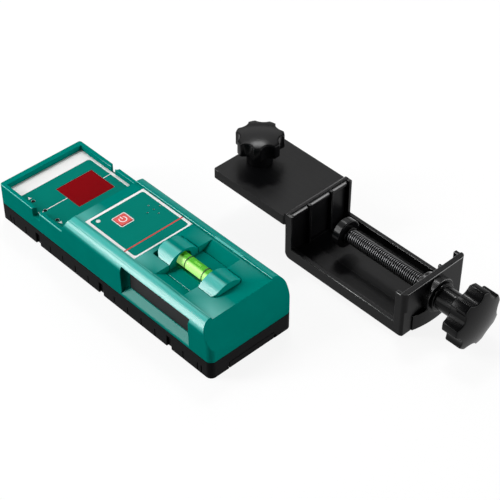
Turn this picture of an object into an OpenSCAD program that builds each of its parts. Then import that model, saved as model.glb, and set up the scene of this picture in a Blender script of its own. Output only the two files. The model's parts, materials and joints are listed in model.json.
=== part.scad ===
// Laser receiver with its detachable staff clamp, in millimetres.
// X runs across the receiver, +Y points to its sensor end and +Z is up, away from its back.
// The origin is the mouth of the bracket thread, in the middle of the receiver's back.

/* [Receiver body] */
// Length of the receiver
body_l = 168; // [166:1:176]
// Width of the receiver
body_w = 55; // [54:1:60]
// Height of the rear housing, up to the parting line
base_h = 10.8; // [10:0.2:11.4]
// Height of the rim around the sensor deck
rim_h = 23.6; // [23:0.2:25]
// Height of the sensor deck's label
deck_h = 20.5; // [20:0.1:21]
// Height of the rolled long edges
crown_h = 33; // [32.5:0.1:34]
// Radius of the rolled long edges
roll_r = 7; // [6:0.5:8]
// Length of the sensor deck, from the foot of the step to the far end
deck_l = 52; // [50:1:54]
// Width of the panel between the rolled edges
panel_w = 40; // [40:0.5:41]
// How far the panel lies under the crown of the rolled edges
panel_drop = 1; // [0.6:0.1:1.2]
// Radius of the two plan corners at the battery end
near_corner_r = 3.4; // [3:0.2:5]
// Radius of the two plan corners at the sensor end
far_corner_r = 1.6; // [1:0.2:2.5]
// Pitch of the fine grooves along the rear housing
groove_pitch = 10.6; // [10:0.1:10.8]

/* [Sensor end] */
// Width of the sensor window
window_w = 24.2; // [22:0.2:26]
// Length of the sensor window
window_l = 20; // [18:0.5:22]
// Offset of the window from the middle of the deck
window_x = 5.8; // [4:0.2:6.6]
// Distance from the far end to the middle of the window
mark_from_end = 31.5; // [30:0.5:33]
// Offset of the direction lights from the middle of the deck
led_x = 21.3; // [20.6:0.1:21.4]
// Spacing of the direction lights
led_pitch = 10.35; // [9:0.05:11]
// Diameter of a direction light
led_d = 2; // [1.6:0.1:2.4]

/* [Keypad] */
// Width of the keypad label
label_w = 39; // [37:0.5:39]
// Length of the keypad label
label_l = 38.9; // [37:0.1:41]
// Distance from the step's top edge to the keypad label
label_gap = 6.5; // [5:0.5:7]
// Width of the power button
button_w = 7.2; // [6.6:0.2:9]
// How far the power button travels
button_travel = 0.5; // [0.3:0.1:0.6]
// Diameter of the power light
power_led_d = 2.6; // [2:0.1:3]
// Diameter of the beeper
beeper_d = 12; // [10:0.5:12.5]

/* [Vial] */
// Diameter of the vial
vial_d = 7.4; // [7:0.1:9]
// Length of the vial
vial_l = 30; // [28:0.5:32]
// Length of the open stretch between the two humps
vial_open_l = 21; // [19:0.5:22]
// Height of the crown of the humps over the panel
hump_h = 4; // [3.5:0.1:4.5]
// Width of the vial carrier
carrier_w = 19; // [18:0.5:20]
// Length of the vial carrier
carrier_l = 45; // [43:0.5:46]

/* [Battery] */
// Diameter of one cell
cell_d = 10.5; // [10:0.1:10.5]
// Length of one cell with its button
cell_l = 44.5; // [43:0.1:44.5]
// Width of the battery door
door_w = 30; // [28:0.5:31]
// Thickness of the battery door
door_t = 2; // [1.8:0.1:2.2]

/* [Bracket thread] */
// Outer diameter of the bracket screw
stud_d = 6.35; // [6:0.05:8]
// Outer diameter of the brass insert
insert_d = 10; // [9.6:0.1:11]
// Length of the brass insert
insert_l = 8; // [7:0.5:8.5]

/* [Clamp] */
// Width of the clamp
clamp_w = 45; // [43:0.5:50]
// Gap between the receiver and the clamp lying next to it
clamp_gap = 34.2; // [25:0.2:45]
// Length of the plate that carries the receiver
plate_l = 55; // [52:0.5:60]
// Thickness of the plate
plate_t = 6; // [5.6:0.1:6.6]
// Height of the top of the plate
plate_h = 27.6; // [27:0.2:29]
// Length of the clamp's channel, outside to outside
channel_l = 84; // [82:0.5:90]
// Height of the channel's side rails
rail_h = 7.3; // [6.5:0.1:8]
// Height of the screw's axis
screw_h = 17.3; // [17:0.1:18]
// Distance from the plate's far edge to the bracket screw
stud_inset = 12; // [11:0.5:16]
// Distance the plate's far edge lies past the middle of the receiver
plate_reach = 11.4; // [8:0.2:14]

/* [Clamp screw] */
// Outer diameter of the clamp screw
screw_d = 7.9; // [6:0.05:8]
// Pitch of the clamp screw
screw_pitch = 1.25; // [1:0.01:1.5]
// How far the pad stands from the wall when the knob meets the boss
pad_gap = 15; // [13:0.5:18]
// Diameter of the pressure pad
pad_d = 16; // [15.5:0.5:20]
// Thickness of the pressure pad
pad_t = 4.8; // [4.6:0.1:6]
// Diameter of the clamp knob
knob_d = 33; // [29:0.5:33]
// Diameter of the mount knob
mount_knob_d = 26.5; // [22:0.5:28]
// Lobes on each knob
lobes = 7; // [6:1:8]

/* [Hidden] */
$fn = 64;

// Colours as the photo shows them
teal = [0, 0.46, 0.41];
black = [0.08, 0.08, 0.09];
dark_red = [0.5, 0, 0.04];
button_red = [0.86, 0.32, 0.3];
label_white = [0.93, 0.93, 0.93];
board_green = [0.1, 0.35, 0.15];
brass = [0.78, 0.62, 0.28];
steel = [0.7, 0.7, 0.72];
lime = [0.5, 0.9, 0.1];
clear_green = [0.8, 0.95, 0.7, 0.5];
seal_grey = [0.2, 0.2, 0.2];
diode_dark = [0.15, 0.12, 0.12];
led_red = [0.25, 0.05, 0.05];
ribbon_grey = [0.75, 0.75, 0.78];
cell_gold = [0.75, 0.7, 0.35];

// Shared clearances
overrun = 1;
fit_gap = 0.1;
slide_gap = 0.25;
turn_gap = 0.15;

// Receiver outline
half_l = body_l/2;
half_w = body_w/2;
wall_t = 3;
skin_t = 2;
least_corner_r = 0.5;
far_rim = 3.7;
side_rim = 2.5;
step_run = 5.5;
slope_run = 7.2;
crease_h = 18.5;
step_foot = half_l - deck_l;
step_top = step_foot - step_run;
slope_top = slope_run - half_l;
panel_h = crown_h - panel_drop;
deck_end = half_l - far_rim;
deck_half = half_w - side_rim;
step_slope = step_run/(crown_h - deck_h);
rim_foot = step_foot - (rim_h - deck_h)*step_slope;
mark_y = half_l - mark_from_end;
mark_r = 2.9;
mark_depth = 2;

// Labels and the skins under them
sheet_t = 0.4;
deck_skin = deck_h - sheet_t;
window_t = 1.9;
window_ledge_t = 1.1;
window_ledge_w = 1.3;
window_seat = deck_h - window_t;
deck_under = window_seat - window_ledge_t;
panel_skin = panel_h - sheet_t;
panel_under = panel_skin - skin_t;

// Keypad label
label_far = step_top - label_gap;
label_near = label_far - label_l;

// Grip recess in each long side
grip_end_gap = 16;
grip_overlap = 1.9;
grip_near = grip_end_gap - half_l;
grip_far = label_near + grip_overlap;
grip_depth = 4;
grip_crown_gap = 3.2;
grip_sill = 1.4;
grip_sill_rise = 3;
grip_top = crown_h - grip_crown_gap;
grip_lip_low = base_h + grip_sill;
grip_back_low = grip_lip_low + grip_sill_rise;
inlay_t = 1.4;
inlay_end = 2.7;
inlay_edge = 0.4;
grip_back = half_w - grip_depth;

// Inner cavities of the front housing
upper_wall = 5.5;
shoulder_drop = 2;
upper_half_w = half_w - upper_wall;
lower_half_w = grip_back - inlay_t - skin_t;
cavity_shoulder = crown_h - roll_r - shoulder_drop;
mid_cavity_near = grip_far + skin_t;

// Case screws
case_screw_r = 1.2;
case_head_r = 2.7;
case_head_h = 1.9;
case_head_inset = 0.5;
case_column_r = 3.6;
case_clearance = 0.5;
case_hole_r = case_screw_r + case_clearance;
case_bite = 6;
case_x = half_w - wall_t - case_column_r + case_screw_r;
case_y = half_l - wall_t - case_column_r - case_screw_r;
case_points = [for (x = [-case_x, case_x], y = [-case_y, case_y]) [x, y]];

// Rear housing
floor_t = 3.4;
seal_w = 1;
seal_inset = 1;
groove_w = 0.7;
groove_depth = 0.5;
groove_low = 0.8;
groove_high = 5.6;
notch_w = 3.4;
notch_depth = 1.2;
notch_high = 7.4;
groove_pair_gap = 2.9;
groove_count = floor(half_l/groove_pitch);
notch_every = 5;
boss_wall = 2.6;
boss_r = insert_d/2 + boss_wall;
boss_h = insert_l + skin_t;

// Battery bay
cell_r = cell_d/2;
bay_gap = 0.3;
bay_wall = 1.5;
bay_half = cell_d + 2*bay_gap;
door_low = 0.3;
door_top = door_low + door_t;
cell_z = door_top + bay_gap + cell_r;
bay_top = cell_z + cell_r + bay_gap;
contact_t = 0.5;
spring_l = 5.5;
bay_near = wall_t - half_l;
bay_far = bay_near + 2*contact_t + cell_l + spring_l;
cell_x = cell_r + bay_gap;
tub_half = bay_half + bay_wall;
tub_far = bay_far + bay_wall;
tub_top = bay_top + bay_wall;
tub_gap = 1;
near_cavity_h = tub_top + tub_gap;
cell_button_r = 1.9;
cell_button_l = 1;
spring_wire_r = 0.3;
spring_turns = 4;
spring_foot_inset = 1.4;
spring_foot_r = cell_r - spring_foot_inset;
spring_tip_r = 2;
spring_steps = 12;
spring_sides = 6;
door_half = door_w/2;
door_far_gap = 2;
door_end_h = 4.2;
door_end_t = 2;
tongue_w = 1.2;
tongue_inset = 0.8;
tongue_t = 0.8;
tongue_low = door_low + tongue_inset;
tongue_high = tongue_low + tongue_t;
grip_bar_count = 4;
grip_bar_pitch = 3;
grip_bar_w = 1.2;
grip_bar_depth = 0.6;

// Keypad parts under the panel
button_x_share = -0.11;
button_y_share = 0.69;
power_led_x_share = -0.365;
power_led_y_share = 0.889;
beeper_x_share = 0.318;
beeper_y_share = 0.571;
button_x = button_x_share*label_w;
button_y = label_near + button_y_share*label_l;
power_led_x = power_led_x_share*label_w;
power_led_y = label_near + power_led_y_share*label_l;
beeper_x = beeper_x_share*label_w;
beeper_y = label_near + beeper_y_share*label_l;
beeper_hole_r = 0.5;
beeper_hole_arm = 4.1;
beeper_h = 5.2;
beeper_hollow_r = 1.5;
button_corner_r = 0.6;
button_proud = 0.35;
button_flange = 1;
button_flange_h = 0.9;
board_t = 1.6;
board_drop = 7.6;
board_side_gap = 1.5;
board_step_gap = 5.5;
main_board_z = panel_under - board_drop;
main_board_top = main_board_z + board_t;
main_board_half = upper_half_w - board_side_gap;
main_board_near = mid_cavity_near + board_side_gap;
main_board_far = step_top - board_step_gap;
switch_w = 6;
switch_h = 3.4;
plunger_r = 1.75;
plunger_sink = 1.2;
switch_top = main_board_top + switch_h;
button_under = panel_under - slide_gap - button_flange_h;
standoff_r = 2.4;
pilot_r = 0.9;
pilot_l = 3;
board_screw_r = 0.85;
board_head_r = 1.7;
board_head_h = 1.2;
standoff_inset = 3;
main_standoffs = [
    for (x = [-1, 1], y = [main_board_near + standoff_inset, main_board_far - standoff_inset])
        [x*(main_board_half - standoff_inset), y]
];

// Sensor board
sensor_board_drop = 4.9;
sensor_board_gap = 3;
sensor_pilot_l = 2.5;
sensor_board_z = deck_under - sensor_board_drop;
sensor_board_top = sensor_board_z + board_t;
sensor_board_half = deck_half - fit_gap - board_side_gap;
sensor_board_near = step_foot + sensor_board_gap;
sensor_board_far = case_y - case_column_r - board_side_gap;
sensor_standoffs = [
    for (x = [-1, 1], y = [sensor_board_near + standoff_inset, sensor_board_far - standoff_inset])
        [x*(sensor_board_half - 2*standoff_inset), y]
];
diode_w = 4.6;
diode_h = 1.8;
diode_columns = 3;
diode_rows = 3;
led_points = [for (i = [-1:1]) [-led_x, mark_y + i*led_pitch]];
led_hole_r = led_d/2 + fit_gap;
led_sink = 0.25;
led_top = deck_h - led_sink;
led_flange_r = 1.4;
led_flange_h = 0.6;

// Ribbon between the boards
ribbon_w = 9;
ribbon_t = 0.4;
ribbon_bite = 5;
ribbon_loop = 2;

// Vial and its carrier
vial_r = vial_d/2;
vial_sink = 1.6;
vial_wall = 0.9;
vial_gap = 26;
vial_z = panel_h - vial_sink;
vial_y = label_near - vial_gap;
carrier_gap = 0.3;
carrier_depth = 9.4;
carrier_floor = panel_h - carrier_depth;
carrier_near = vial_y - carrier_l/2;
carrier_far = vial_y + carrier_l/2;
hump_half = 9.2;
hump_top = panel_h + hump_h;
hump_r = (hump_half*hump_half + hump_h*hump_h)/(2*hump_h);
hump_z = hump_top - hump_r;
cradle_r = vial_r + slide_gap;
arch_gap = 1.1;
arch_t = 1.5;
scoop_half = 19;
scoop_floor_half = 12.5;
scoop_depth = 3.4;
scoop_floor = panel_h - scoop_depth;
saddle_half = scoop_floor_half - carrier_gap;
saddle_t = 2;
carrier_near_r = 3;
carrier_far_r = 5;
pocket_far_r = 0.8;
ring_t = 0.15;
ring_w = 0.6;
ring_spread = 6.2;
bubble_r = 1.7;
bubble_l = 6.4;
plug_t = 1.5;

// Clamp frame
clamp_x = half_w + clamp_gap + clamp_w/2;
clamp_half = clamp_w/2;
plate_far = plate_reach;
wall_out = plate_far - plate_l;
wall_skin = 2;
flange_t = 2.2;
flange_run = 4.6;
rib_t = 1.6;
rib_share = 0.36;
lip_r = 2.4;
lip_rise = 2;
rib_rise = 1.8;
plate_low = plate_h - plate_t;
floor_h = 2.8;
rail_w = 2.6;
tread_w = 15.2;
tread_h = 3.6;
end_out = wall_out - channel_l;
end_t = 3.4;
end_rise = 0.6;
end_h = plate_h + end_rise;
end_step_h = 16;
end_step = 0.7;
end_corner_r = 2.8;
end_arm = 6.6;
end_rib = 5.4;
arm_drop = 0.8;
apron_half = 15;
apron_out = 2;
apron_h = 10;
heel_r = 3.5;
plate_corner_r = 1.6;
plate_side = 0.6;
boss_out = 4;
screw_boss_r = 9.6;
bush_r = 5.4;
bush_flange_r = 6.8;
bush_flange_t = 1;
nut_boss_in = 4;
screw_boss_in_r = 7.6;

// Clamp screw, pad and knob
screw_r = screw_d/2;
thread_depth = 0.76;
thread_runout = 1;
screw_core_r = screw_r - thread_depth;
screw_hole_r = screw_r + turn_gap;
jaw_face = wall_out - flange_run;
pad_face = jaw_face - pad_gap;
pad_back = pad_face - pad_t;
pad_r = pad_d/2;
pad_pocket_r = 5.6;
pad_pocket = 2.4;
washer_r = 4.8;
washer_t = 0.8;
tip_r = 1.85;
tip_l = 1.2;
collar_r = 4.6;
collar_t = 1.4;
boss_face = end_out - boss_out;
neck_r = 6.6;
neck_l = 13.2;
neck_ring_r = 8;
neck_ring_t = 1.6;
knob_t = 12;
knob_dome = 2.4;
knob_bite = 14;
scallop_share = 0.36;
scallop_out_share = 1.2;

// Mount knob and stud
stud_r = stud_d/2;
stud_y = plate_far - stud_inset;
mount_neck_r = 7.2;
mount_neck_h = 8.7;
mount_lobe_h = 8.3;
mount_turn = -11;
mount_dome = 1.7;
mount_seat_gap = 0.2;
stud_bite = 8;
stud_reach = 6.5;
clip_r = 5.4;
clip_t = 0.9;
clip_pocket_r = 6.4;
clip_pocket = 1.7;
clip_groove = 0.6;

// A box between two opposite corners
module block(low, high) {
    translate(low)
        cube(high - low);
}

// A box that is even about the middle of the receiver
module slab(half, y, z) {
    block([-half, y[0], z[0]], [half, y[1], z[1]]);
}

// A post that stands on a point
module post(p, z, r) {
    translate([p[0], p[1], z[0]])
        cylinder(r = r, h = z[1] - z[0]);
}

// A round bar along Y
module bar(x, z, r, y) {
    translate([x, y[0], z])
        rotate([-90, 0, 0])
            cylinder(r = r, h = y[1] - y[0]);
}

// A prism along X, from an outline in Y and Z
module prism_x(x, points) {
    translate([x[0], 0, 0])
        rotate([90, 0, 90])
            linear_extrude(x[1] - x[0])
                polygon(points);
}

// A flat square with round corners
module round_square(w, l, r) {
    square([w - 2*r, l], center = true);
    square([w, l - 2*r], center = true);
    for (x = [-1, 1], y = [-1, 1])
        translate([x*(w/2 - r), y*(l/2 - r)])
            circle(r);
}

// A plan with one corner radius at its near end and another at its far end
module end_rounded(half, y, near_r, far_r) {
    for (s = [-1, 1]) {
        translate([s*(half - near_r), y[0] + near_r])
            circle(near_r);
        translate([s*(half - far_r), y[1] - far_r])
            circle(far_r);
    }
    translate([near_r - half, y[0]])
        square([2*(half - near_r), near_r]);
    translate([far_r - half, y[1] - far_r])
        square([2*(half - far_r), far_r]);
    translate([-half, y[0] + near_r])
        square([2*half, y[1] - y[0] - near_r - far_r]);
}

// The plan of the receiver, drawn in by an inset all round
module body_plan(inset) {
    near_r = near_corner_r - min(inset, near_corner_r - far_corner_r);
    far_r = max(far_corner_r - inset, least_corner_r);
    end_rounded(half_w - inset, [inset - half_l, half_l - inset], near_r, far_r);
}

// Cross section of the front housing, with the two rolled edges
module roll_section() {
    translate([-half_w, base_h])
        square([body_w, crown_h - roll_r - base_h]);
    translate([roll_r - half_w, crown_h - roll_r])
        square([body_w - 2*roll_r, roll_r]);
    for (s = [-1, 1])
        translate([s*(half_w - roll_r), crown_h - roll_r])
            circle(roll_r);
}

// Outer form of the front housing
module front_form() {
    intersection() {
        translate([0, half_l, 0])
            rotate([90, 0, 0])
                linear_extrude(body_l)
                    roll_section();
        prism_x([-half_w, half_w], [
            [-half_l, base_h], [half_l, base_h], [half_l, rim_h], [rim_foot, rim_h],
            [step_top, crown_h], [slope_top, crown_h], [-half_l, crease_h]
        ]);
        translate([0, 0, base_h])
            linear_extrude(crown_h - base_h)
                body_plan(0);
    }
}

// Hollow of the sensor deck, open at the top
module deck_hollow() {
    top = crown_h + overrun;
    lean = (top - deck_skin)*step_slope;
    prism_x([-deck_half, deck_half], [
        [step_foot, deck_skin], [deck_end, deck_skin], [deck_end, top], [step_foot - lean, top]
    ]);
    for (s = [-1, 1])
        post([s*half_w, mark_y], [deck_h - mark_depth, top], mark_r);
}

// One grip recess, round at its far end, and its inlay pocket, on the right side
module grip_hollow() {
    intersection() {
        translate([0, grip_far, 0])
            rotate([90, 0, 0])
                linear_extrude(grip_far - grip_near)
                    polygon([
                        [half_w + overrun, grip_top], [grip_back, grip_top], [grip_back, grip_back_low],
                        [half_w, grip_lip_low], [half_w + overrun, grip_lip_low]
                    ]);
        linear_extrude(crown_h) {
            translate([grip_back, grip_near])
                square([grip_depth + overrun, grip_far - grip_near - inlay_end]);
            translate([grip_back + inlay_end, grip_near])
                square([grip_depth + overrun - inlay_end, grip_far - grip_near]);
            translate([grip_back + inlay_end, grip_far - inlay_end])
                circle(inlay_end);
        }
    }
    block(
        [grip_back - inlay_t, grip_near + inlay_edge, grip_back_low + inlay_edge],
        [grip_back + fit_gap, grip_far - inlay_end, grip_top - inlay_edge]
    );
}

// Cavities inside the front housing
module front_cavities() {
    low = base_h - overrun;
    slab(upper_half_w + skin_t, [mid_cavity_near, rim_foot - skin_t], [low, deck_under]);
    slab(upper_half_w, [mid_cavity_near, step_top - skin_t], [low, panel_under]);
    slab(upper_half_w + skin_t, [mid_cavity_near, step_top - skin_t], [low, cavity_shoulder]);
    slab(deck_half - fit_gap, [rim_foot - skin_t - overrun, deck_end - skin_t], [low, deck_under]);
    slab(lower_half_w, [bay_near, mid_cavity_near + overrun], [low, near_cavity_h]);
}

// Openings in the keypad panel and the sensor deck
module front_openings() {
    slab(panel_w/2, [-half_l - overrun, step_top + step_run], [panel_h, crown_h + overrun]);
    slab(label_w/2 + fit_gap, [label_near - fit_gap, label_far + fit_gap], [panel_skin, crown_h]);
    translate([button_x, button_y, panel_under - overrun])
        linear_extrude(crown_h - panel_under)
            round_square(button_w + 2*slide_gap, button_w + 2*slide_gap, button_corner_r);
    post([power_led_x, power_led_y], [panel_under - overrun, crown_h], power_led_d/2 + fit_gap);
    beeper_holes([panel_under - overrun, crown_h]);
    window_block(fit_gap, [window_seat, crown_h]);
    window_block(-window_ledge_w, [deck_under - overrun, crown_h]);
    for (p = led_points)
        post(p, [deck_under - overrun, deck_h], led_hole_r);
    translate([0, 0, carrier_floor])
        linear_extrude(crown_h)
            carrier_plan(carrier_gap, pocket_far_r);
    saddle(carrier_gap);
    scoop();
}

// The trough across the panel beside the vial: a flat floor between two slopes
module scoop() {
    top = panel_h + overrun;
    rise = (scoop_half - scoop_floor_half)/scoop_depth;
    translate([0, vial_y + vial_open_l/2, 0])
        rotate([90, 0, 0])
            linear_extrude(vial_open_l)
                polygon([
                    [-scoop_floor_half, scoop_floor], [scoop_floor_half, scoop_floor],
                    [scoop_half + overrun*rise, top], [scoop_half, hump_top + overrun],
                    [-scoop_half, hump_top + overrun], [-scoop_half - overrun*rise, top]
                ]);
}

// Plan of the vial carrier or its pocket, grown by a gap
module carrier_plan(gap, far_r) {
    end_rounded(carrier_w/2 + gap, [carrier_near - gap, carrier_far + gap], carrier_near_r, far_r);
}

// The carrier's flat saddle in the trough, grown by a gap
module saddle(gap) {
    reach = vial_open_l/2 - carrier_gap + gap;
    slab(saddle_half + gap, [vial_y - reach, vial_y + reach], [scoop_floor - saddle_t - gap/2, scoop_floor]);
}

// Sensor window outline, grown by a margin
module window_block(margin, z) {
    translate([window_x, mark_y, z[0]])
        linear_extrude(z[1] - z[0])
            square([window_w + 2*margin, window_l + 2*margin], center = true);
}

// Five beeper holes in a plus
module beeper_holes(z) {
    for (p = [[0, 0], [1, 0], [-1, 0], [0, 1], [0, -1]])
        post([beeper_x, beeper_y] + beeper_hole_arm*p, z, beeper_hole_r);
}

module front_housing() {
    color(teal)
        difference() {
            union() {
                difference() {
                    front_form();
                    front_cavities();
                }
                for (p = case_points)
                    if (p[1] > 0)
                        post(p, [base_h, deck_under + overrun], case_column_r - fit_gap);
                for (p = main_standoffs)
                    post(p, [main_board_top, panel_under + overrun], standoff_r);
                for (p = sensor_standoffs)
                    post(p, [sensor_board_top, deck_under + overrun], standoff_r);
            }
            deck_hollow();
            front_openings();
            grip_hollow();
            mirror([1, 0, 0])
                grip_hollow();
            for (p = case_points)
                post(p, [base_h - overrun, base_h + case_bite], case_screw_r + fit_gap/2);
            for (p = main_standoffs)
                post(p, [main_board_z, main_board_top + pilot_l], pilot_r);
            for (p = sensor_standoffs)
                post(p, [sensor_board_z, sensor_board_top + sensor_pilot_l], pilot_r);
        }
}

// One upright cut in the right side of the rear housing
module side_cut(y, w, depth, z) {
    block([half_w - depth, y - w/2, z[0]], [half_w + overrun, y + w/2, z[1]]);
}

// Fine grooves, paired at both ends, and wide notches along one long side of the rear housing
module side_grooves() {
    end_y = groove_count*groove_pitch + groove_pair_gap;
    for (i = [-groove_count:groove_count]) {
        if (i % notch_every == 0)
            side_cut(i*groove_pitch, notch_w, notch_depth, [-overrun, notch_high]);
        else
            side_cut(i*groove_pitch, groove_w, groove_depth, [groove_low, groove_high]);
    }
    for (s = [-1, 1])
        side_cut(s*end_y, groove_w, groove_depth, [groove_low, groove_high]);
}

// Path of the battery door with its tongues, grown by a gap
module door_path(gap) {
    far = bay_far + door_far_gap + gap;
    slab(door_half + gap, [-half_l - overrun, far], [-overrun, door_top + gap]);
    slab(door_half + tongue_w + gap, [-half_l - overrun, far], [tongue_low - gap, tongue_high + gap]);
    slab(door_half + gap, [-half_l - overrun, door_end_t - half_l + gap], [-overrun, door_end_h + gap]);
}

module rear_housing() {
    color(black)
        difference() {
            union() {
                difference() {
                    linear_extrude(base_h)
                        body_plan(0);
                    translate([0, 0, floor_t])
                        linear_extrude(base_h)
                            body_plan(wall_t);
                }
                slab(tub_half, [bay_near - overrun, tub_far], [floor_t - overrun, base_h]);
                slab(tub_half, [bay_near, tub_far], [base_h - overrun, tub_top]);
                post([0, 0], [0, boss_h], boss_r);
                for (p = case_points)
                    post(p, [0, base_h], case_column_r);
            }
            slab(bay_half, [bay_near, bay_far], [-overrun, bay_top]);
            door_path(slide_gap);
            side_grooves();
            mirror([1, 0, 0])
                side_grooves();
            post([0, 0], [-overrun, insert_l], insert_d/2);
            translate([0, 0, base_h - seal_w])
                seal_ring(overrun);
            for (p = case_points) {
                post(p, [-overrun, base_h + overrun], case_hole_r);
                post(p, [-overrun, case_head_inset + case_head_h], case_head_r + slide_gap);
            }
        }
}

// Seal between the two housings
module seal_ring(extra) {
    linear_extrude(seal_w + extra)
        difference() {
            body_plan(seal_inset);
            body_plan(seal_inset + seal_w);
        }
}

module case_gasket() {
    color(seal_grey)
        translate([0, 0, base_h - seal_w])
            seal_ring(0);
}

// A pan head screw that points up from its head
module screw_up(p, z, head_r, head_h, shank_r, length) {
    post(p, [z, z + head_h], head_r);
    post(p, [z, z + head_h + length], shank_r);
}

module case_screws() {
    length = base_h - case_head_inset - case_head_h + case_bite - slide_gap;
    color(steel)
        for (p = case_points)
            screw_up(p, case_head_inset, case_head_r, case_head_h, case_screw_r, length);
}

module bracket_insert() {
    color(brass)
        difference() {
            post([0, 0], [0, insert_l], insert_d/2);
            post([0, 0], [-overrun, insert_l + overrun], stud_r + turn_gap/2);
        }
}

module sensor_window() {
    color(dark_red)
        window_block(0, [window_seat, deck_h]);
}

module sensor_label() {
    color(label_white)
        difference() {
            slab(deck_half - fit_gap, [step_foot + fit_gap, deck_end - fit_gap], [deck_skin, deck_h]);
            window_block(fit_gap, [deck_skin - overrun, crown_h]);
            for (p = led_points)
                post(p, [deck_skin - overrun, crown_h], led_hole_r);
        }
}

module sensor_board() {
    color(board_green)
        difference() {
            slab(sensor_board_half, [sensor_board_near, sensor_board_far],
                [sensor_board_z, sensor_board_top]);
            for (p = sensor_standoffs)
                post(p, [sensor_board_z - overrun, sensor_board_top + overrun], board_screw_r + fit_gap);
        }
}

module photodiodes() {
    color(diode_dark)
        for (i = [0:diode_columns - 1], j = [0:diode_rows - 1]) {
            x = window_x + (i - (diode_columns - 1)/2)*window_w/(diode_columns + 1);
            y = mark_y + (j - (diode_rows - 1)/2)*window_l/(diode_rows + 1);
            block(
                [x - diode_w/2, y - diode_w/2, sensor_board_top],
                [x + diode_w/2, y + diode_w/2, sensor_board_top + diode_h]
            );
        }
}

module direction_leds() {
    color(led_red)
        for (p = led_points) {
            post(p, [sensor_board_top, led_top], led_d/2);
            post(p, [sensor_board_top, sensor_board_top + led_flange_h], led_flange_r);
        }
}

module keypad_label() {
    color(label_white)
        difference() {
            slab(label_w/2, [label_near, label_far], [panel_skin, panel_h]);
            translate([button_x, button_y, panel_skin - overrun])
                linear_extrude(crown_h - panel_skin)
                    round_square(button_w + 2*slide_gap, button_w + 2*slide_gap, button_corner_r);
            post([power_led_x, power_led_y], [panel_skin - overrun, crown_h], power_led_d/2 + fit_gap);
            beeper_holes([panel_skin - overrun, crown_h]);
        }
}

module power_button() {
    color(button_red)
        translate([button_x, button_y, button_under]) {
            linear_extrude(panel_h + button_proud - button_under)
                round_square(button_w, button_w, button_corner_r);
            linear_extrude(button_flange_h)
                round_square(button_w + 2*button_flange, button_w + 2*button_flange, button_corner_r);
        }
}

module switch_plunger() {
    color(black)
        post([button_x, button_y], [switch_top - plunger_sink, button_under], plunger_r);
}

module tact_switch() {
    color(steel)
        difference() {
            block(
                [button_x - switch_w/2, button_y - switch_w/2, main_board_top],
                [button_x + switch_w/2, button_y + switch_w/2, switch_top]
            );
            post([button_x, button_y],
                [switch_top - plunger_sink - button_travel - slide_gap, switch_top + overrun],
                plunger_r + slide_gap);
        }
}

module power_led() {
    color(label_white) {
        post([power_led_x, power_led_y], [main_board_top, panel_h], power_led_d/2);
        post([power_led_x, power_led_y], [main_board_top, main_board_top + led_flange_h], led_flange_r);
    }
}

module beeper() {
    color(black)
        difference() {
            post([beeper_x, beeper_y], [main_board_top, main_board_top + beeper_h], beeper_d/2);
            post([beeper_x, beeper_y],
                [main_board_top + beeper_h - skin_t, main_board_top + beeper_h + overrun],
                beeper_hollow_r);
        }
}

module main_board() {
    color(board_green)
        difference() {
            slab(main_board_half, [main_board_near, main_board_far], [main_board_z, main_board_top]);
            for (p = main_standoffs)
                post(p, [main_board_z - overrun, main_board_top + overrun], board_screw_r + fit_gap);
        }
}

module board_ribbon() {
    far = sensor_board_near + ribbon_bite;
    near = main_board_far - ribbon_bite;
    turn = main_board_far + ribbon_loop;
    color(ribbon_grey)
        prism_x([-ribbon_w/2, ribbon_w/2], [
            [near, main_board_z], [near, main_board_z - ribbon_t], [turn - ribbon_t, main_board_z - ribbon_t],
            [turn - ribbon_t, sensor_board_top], [far, sensor_board_top],
            [far, sensor_board_top + ribbon_t], [turn, sensor_board_top + ribbon_t], [turn, main_board_z]
        ]);
}

module board_screws() {
    color(steel) {
        for (p = main_standoffs)
            screw_up(p, main_board_z - board_head_h, board_head_r, board_head_h, board_screw_r,
                board_t + pilot_l - slide_gap);
        for (p = sensor_standoffs)
            screw_up(p, sensor_board_z - board_head_h, board_head_r, board_head_h, board_screw_r,
                board_t + sensor_pilot_l - slide_gap);
    }
}

module vial_carrier() {
    color(teal)
        difference() {
            union() {
                intersection() {
                    translate([0, 0, carrier_floor])
                        linear_extrude(hump_top - carrier_floor)
                            carrier_plan(0, carrier_far_r);
                    bar(0, hump_z, hump_r, [carrier_near, carrier_far]);
                }
                saddle(0);
            }
            bar(0, vial_z, cradle_r, [vial_y - vial_l/2, vial_y + vial_l/2]);
            bar(0, vial_z, vial_r + arch_gap,
                [vial_y - vial_open_l/2 - arch_t, vial_y + vial_open_l/2 + arch_t]);
            scoop();
        }
}

module vial_tube() {
    color(clear_green)
        difference() {
            bar(0, vial_z, vial_r, [vial_y - vial_l/2, vial_y + vial_l/2]);
            bar(0, vial_z, vial_r - vial_wall, [vial_y - vial_l/2 + plug_t, vial_y + vial_l/2 - plug_t]);
        }
}

module vial_liquid() {
    inner = vial_r - vial_wall;
    color(lime)
        difference() {
            bar(0, vial_z, inner, [vial_y - vial_l/2 + plug_t, vial_y + vial_l/2 - plug_t]);
            bar(0, vial_z + inner - bubble_r, bubble_r, [vial_y - bubble_l/2, vial_y + bubble_l/2]);
        }
}

module vial_rings() {
    color(black)
        for (s = [-1, 1])
            difference() {
                bar(0, vial_z, vial_r + ring_t,
                    [vial_y + s*ring_spread - ring_w/2, vial_y + s*ring_spread + ring_w/2]);
                bar(0, vial_z, vial_r, [vial_y - vial_l/2, vial_y + vial_l/2]);
            }
}

// Inlay in the back of the right grip recess
module grip_inlay() {
    color(black)
        block(
            [grip_back - inlay_t, grip_near + inlay_edge + fit_gap, grip_back_low + inlay_edge + fit_gap],
            [grip_back, grip_far - inlay_end - fit_gap, grip_top - inlay_edge - fit_gap]
        );
}

module grip_inlay_right() {
    grip_inlay();
}

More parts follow.
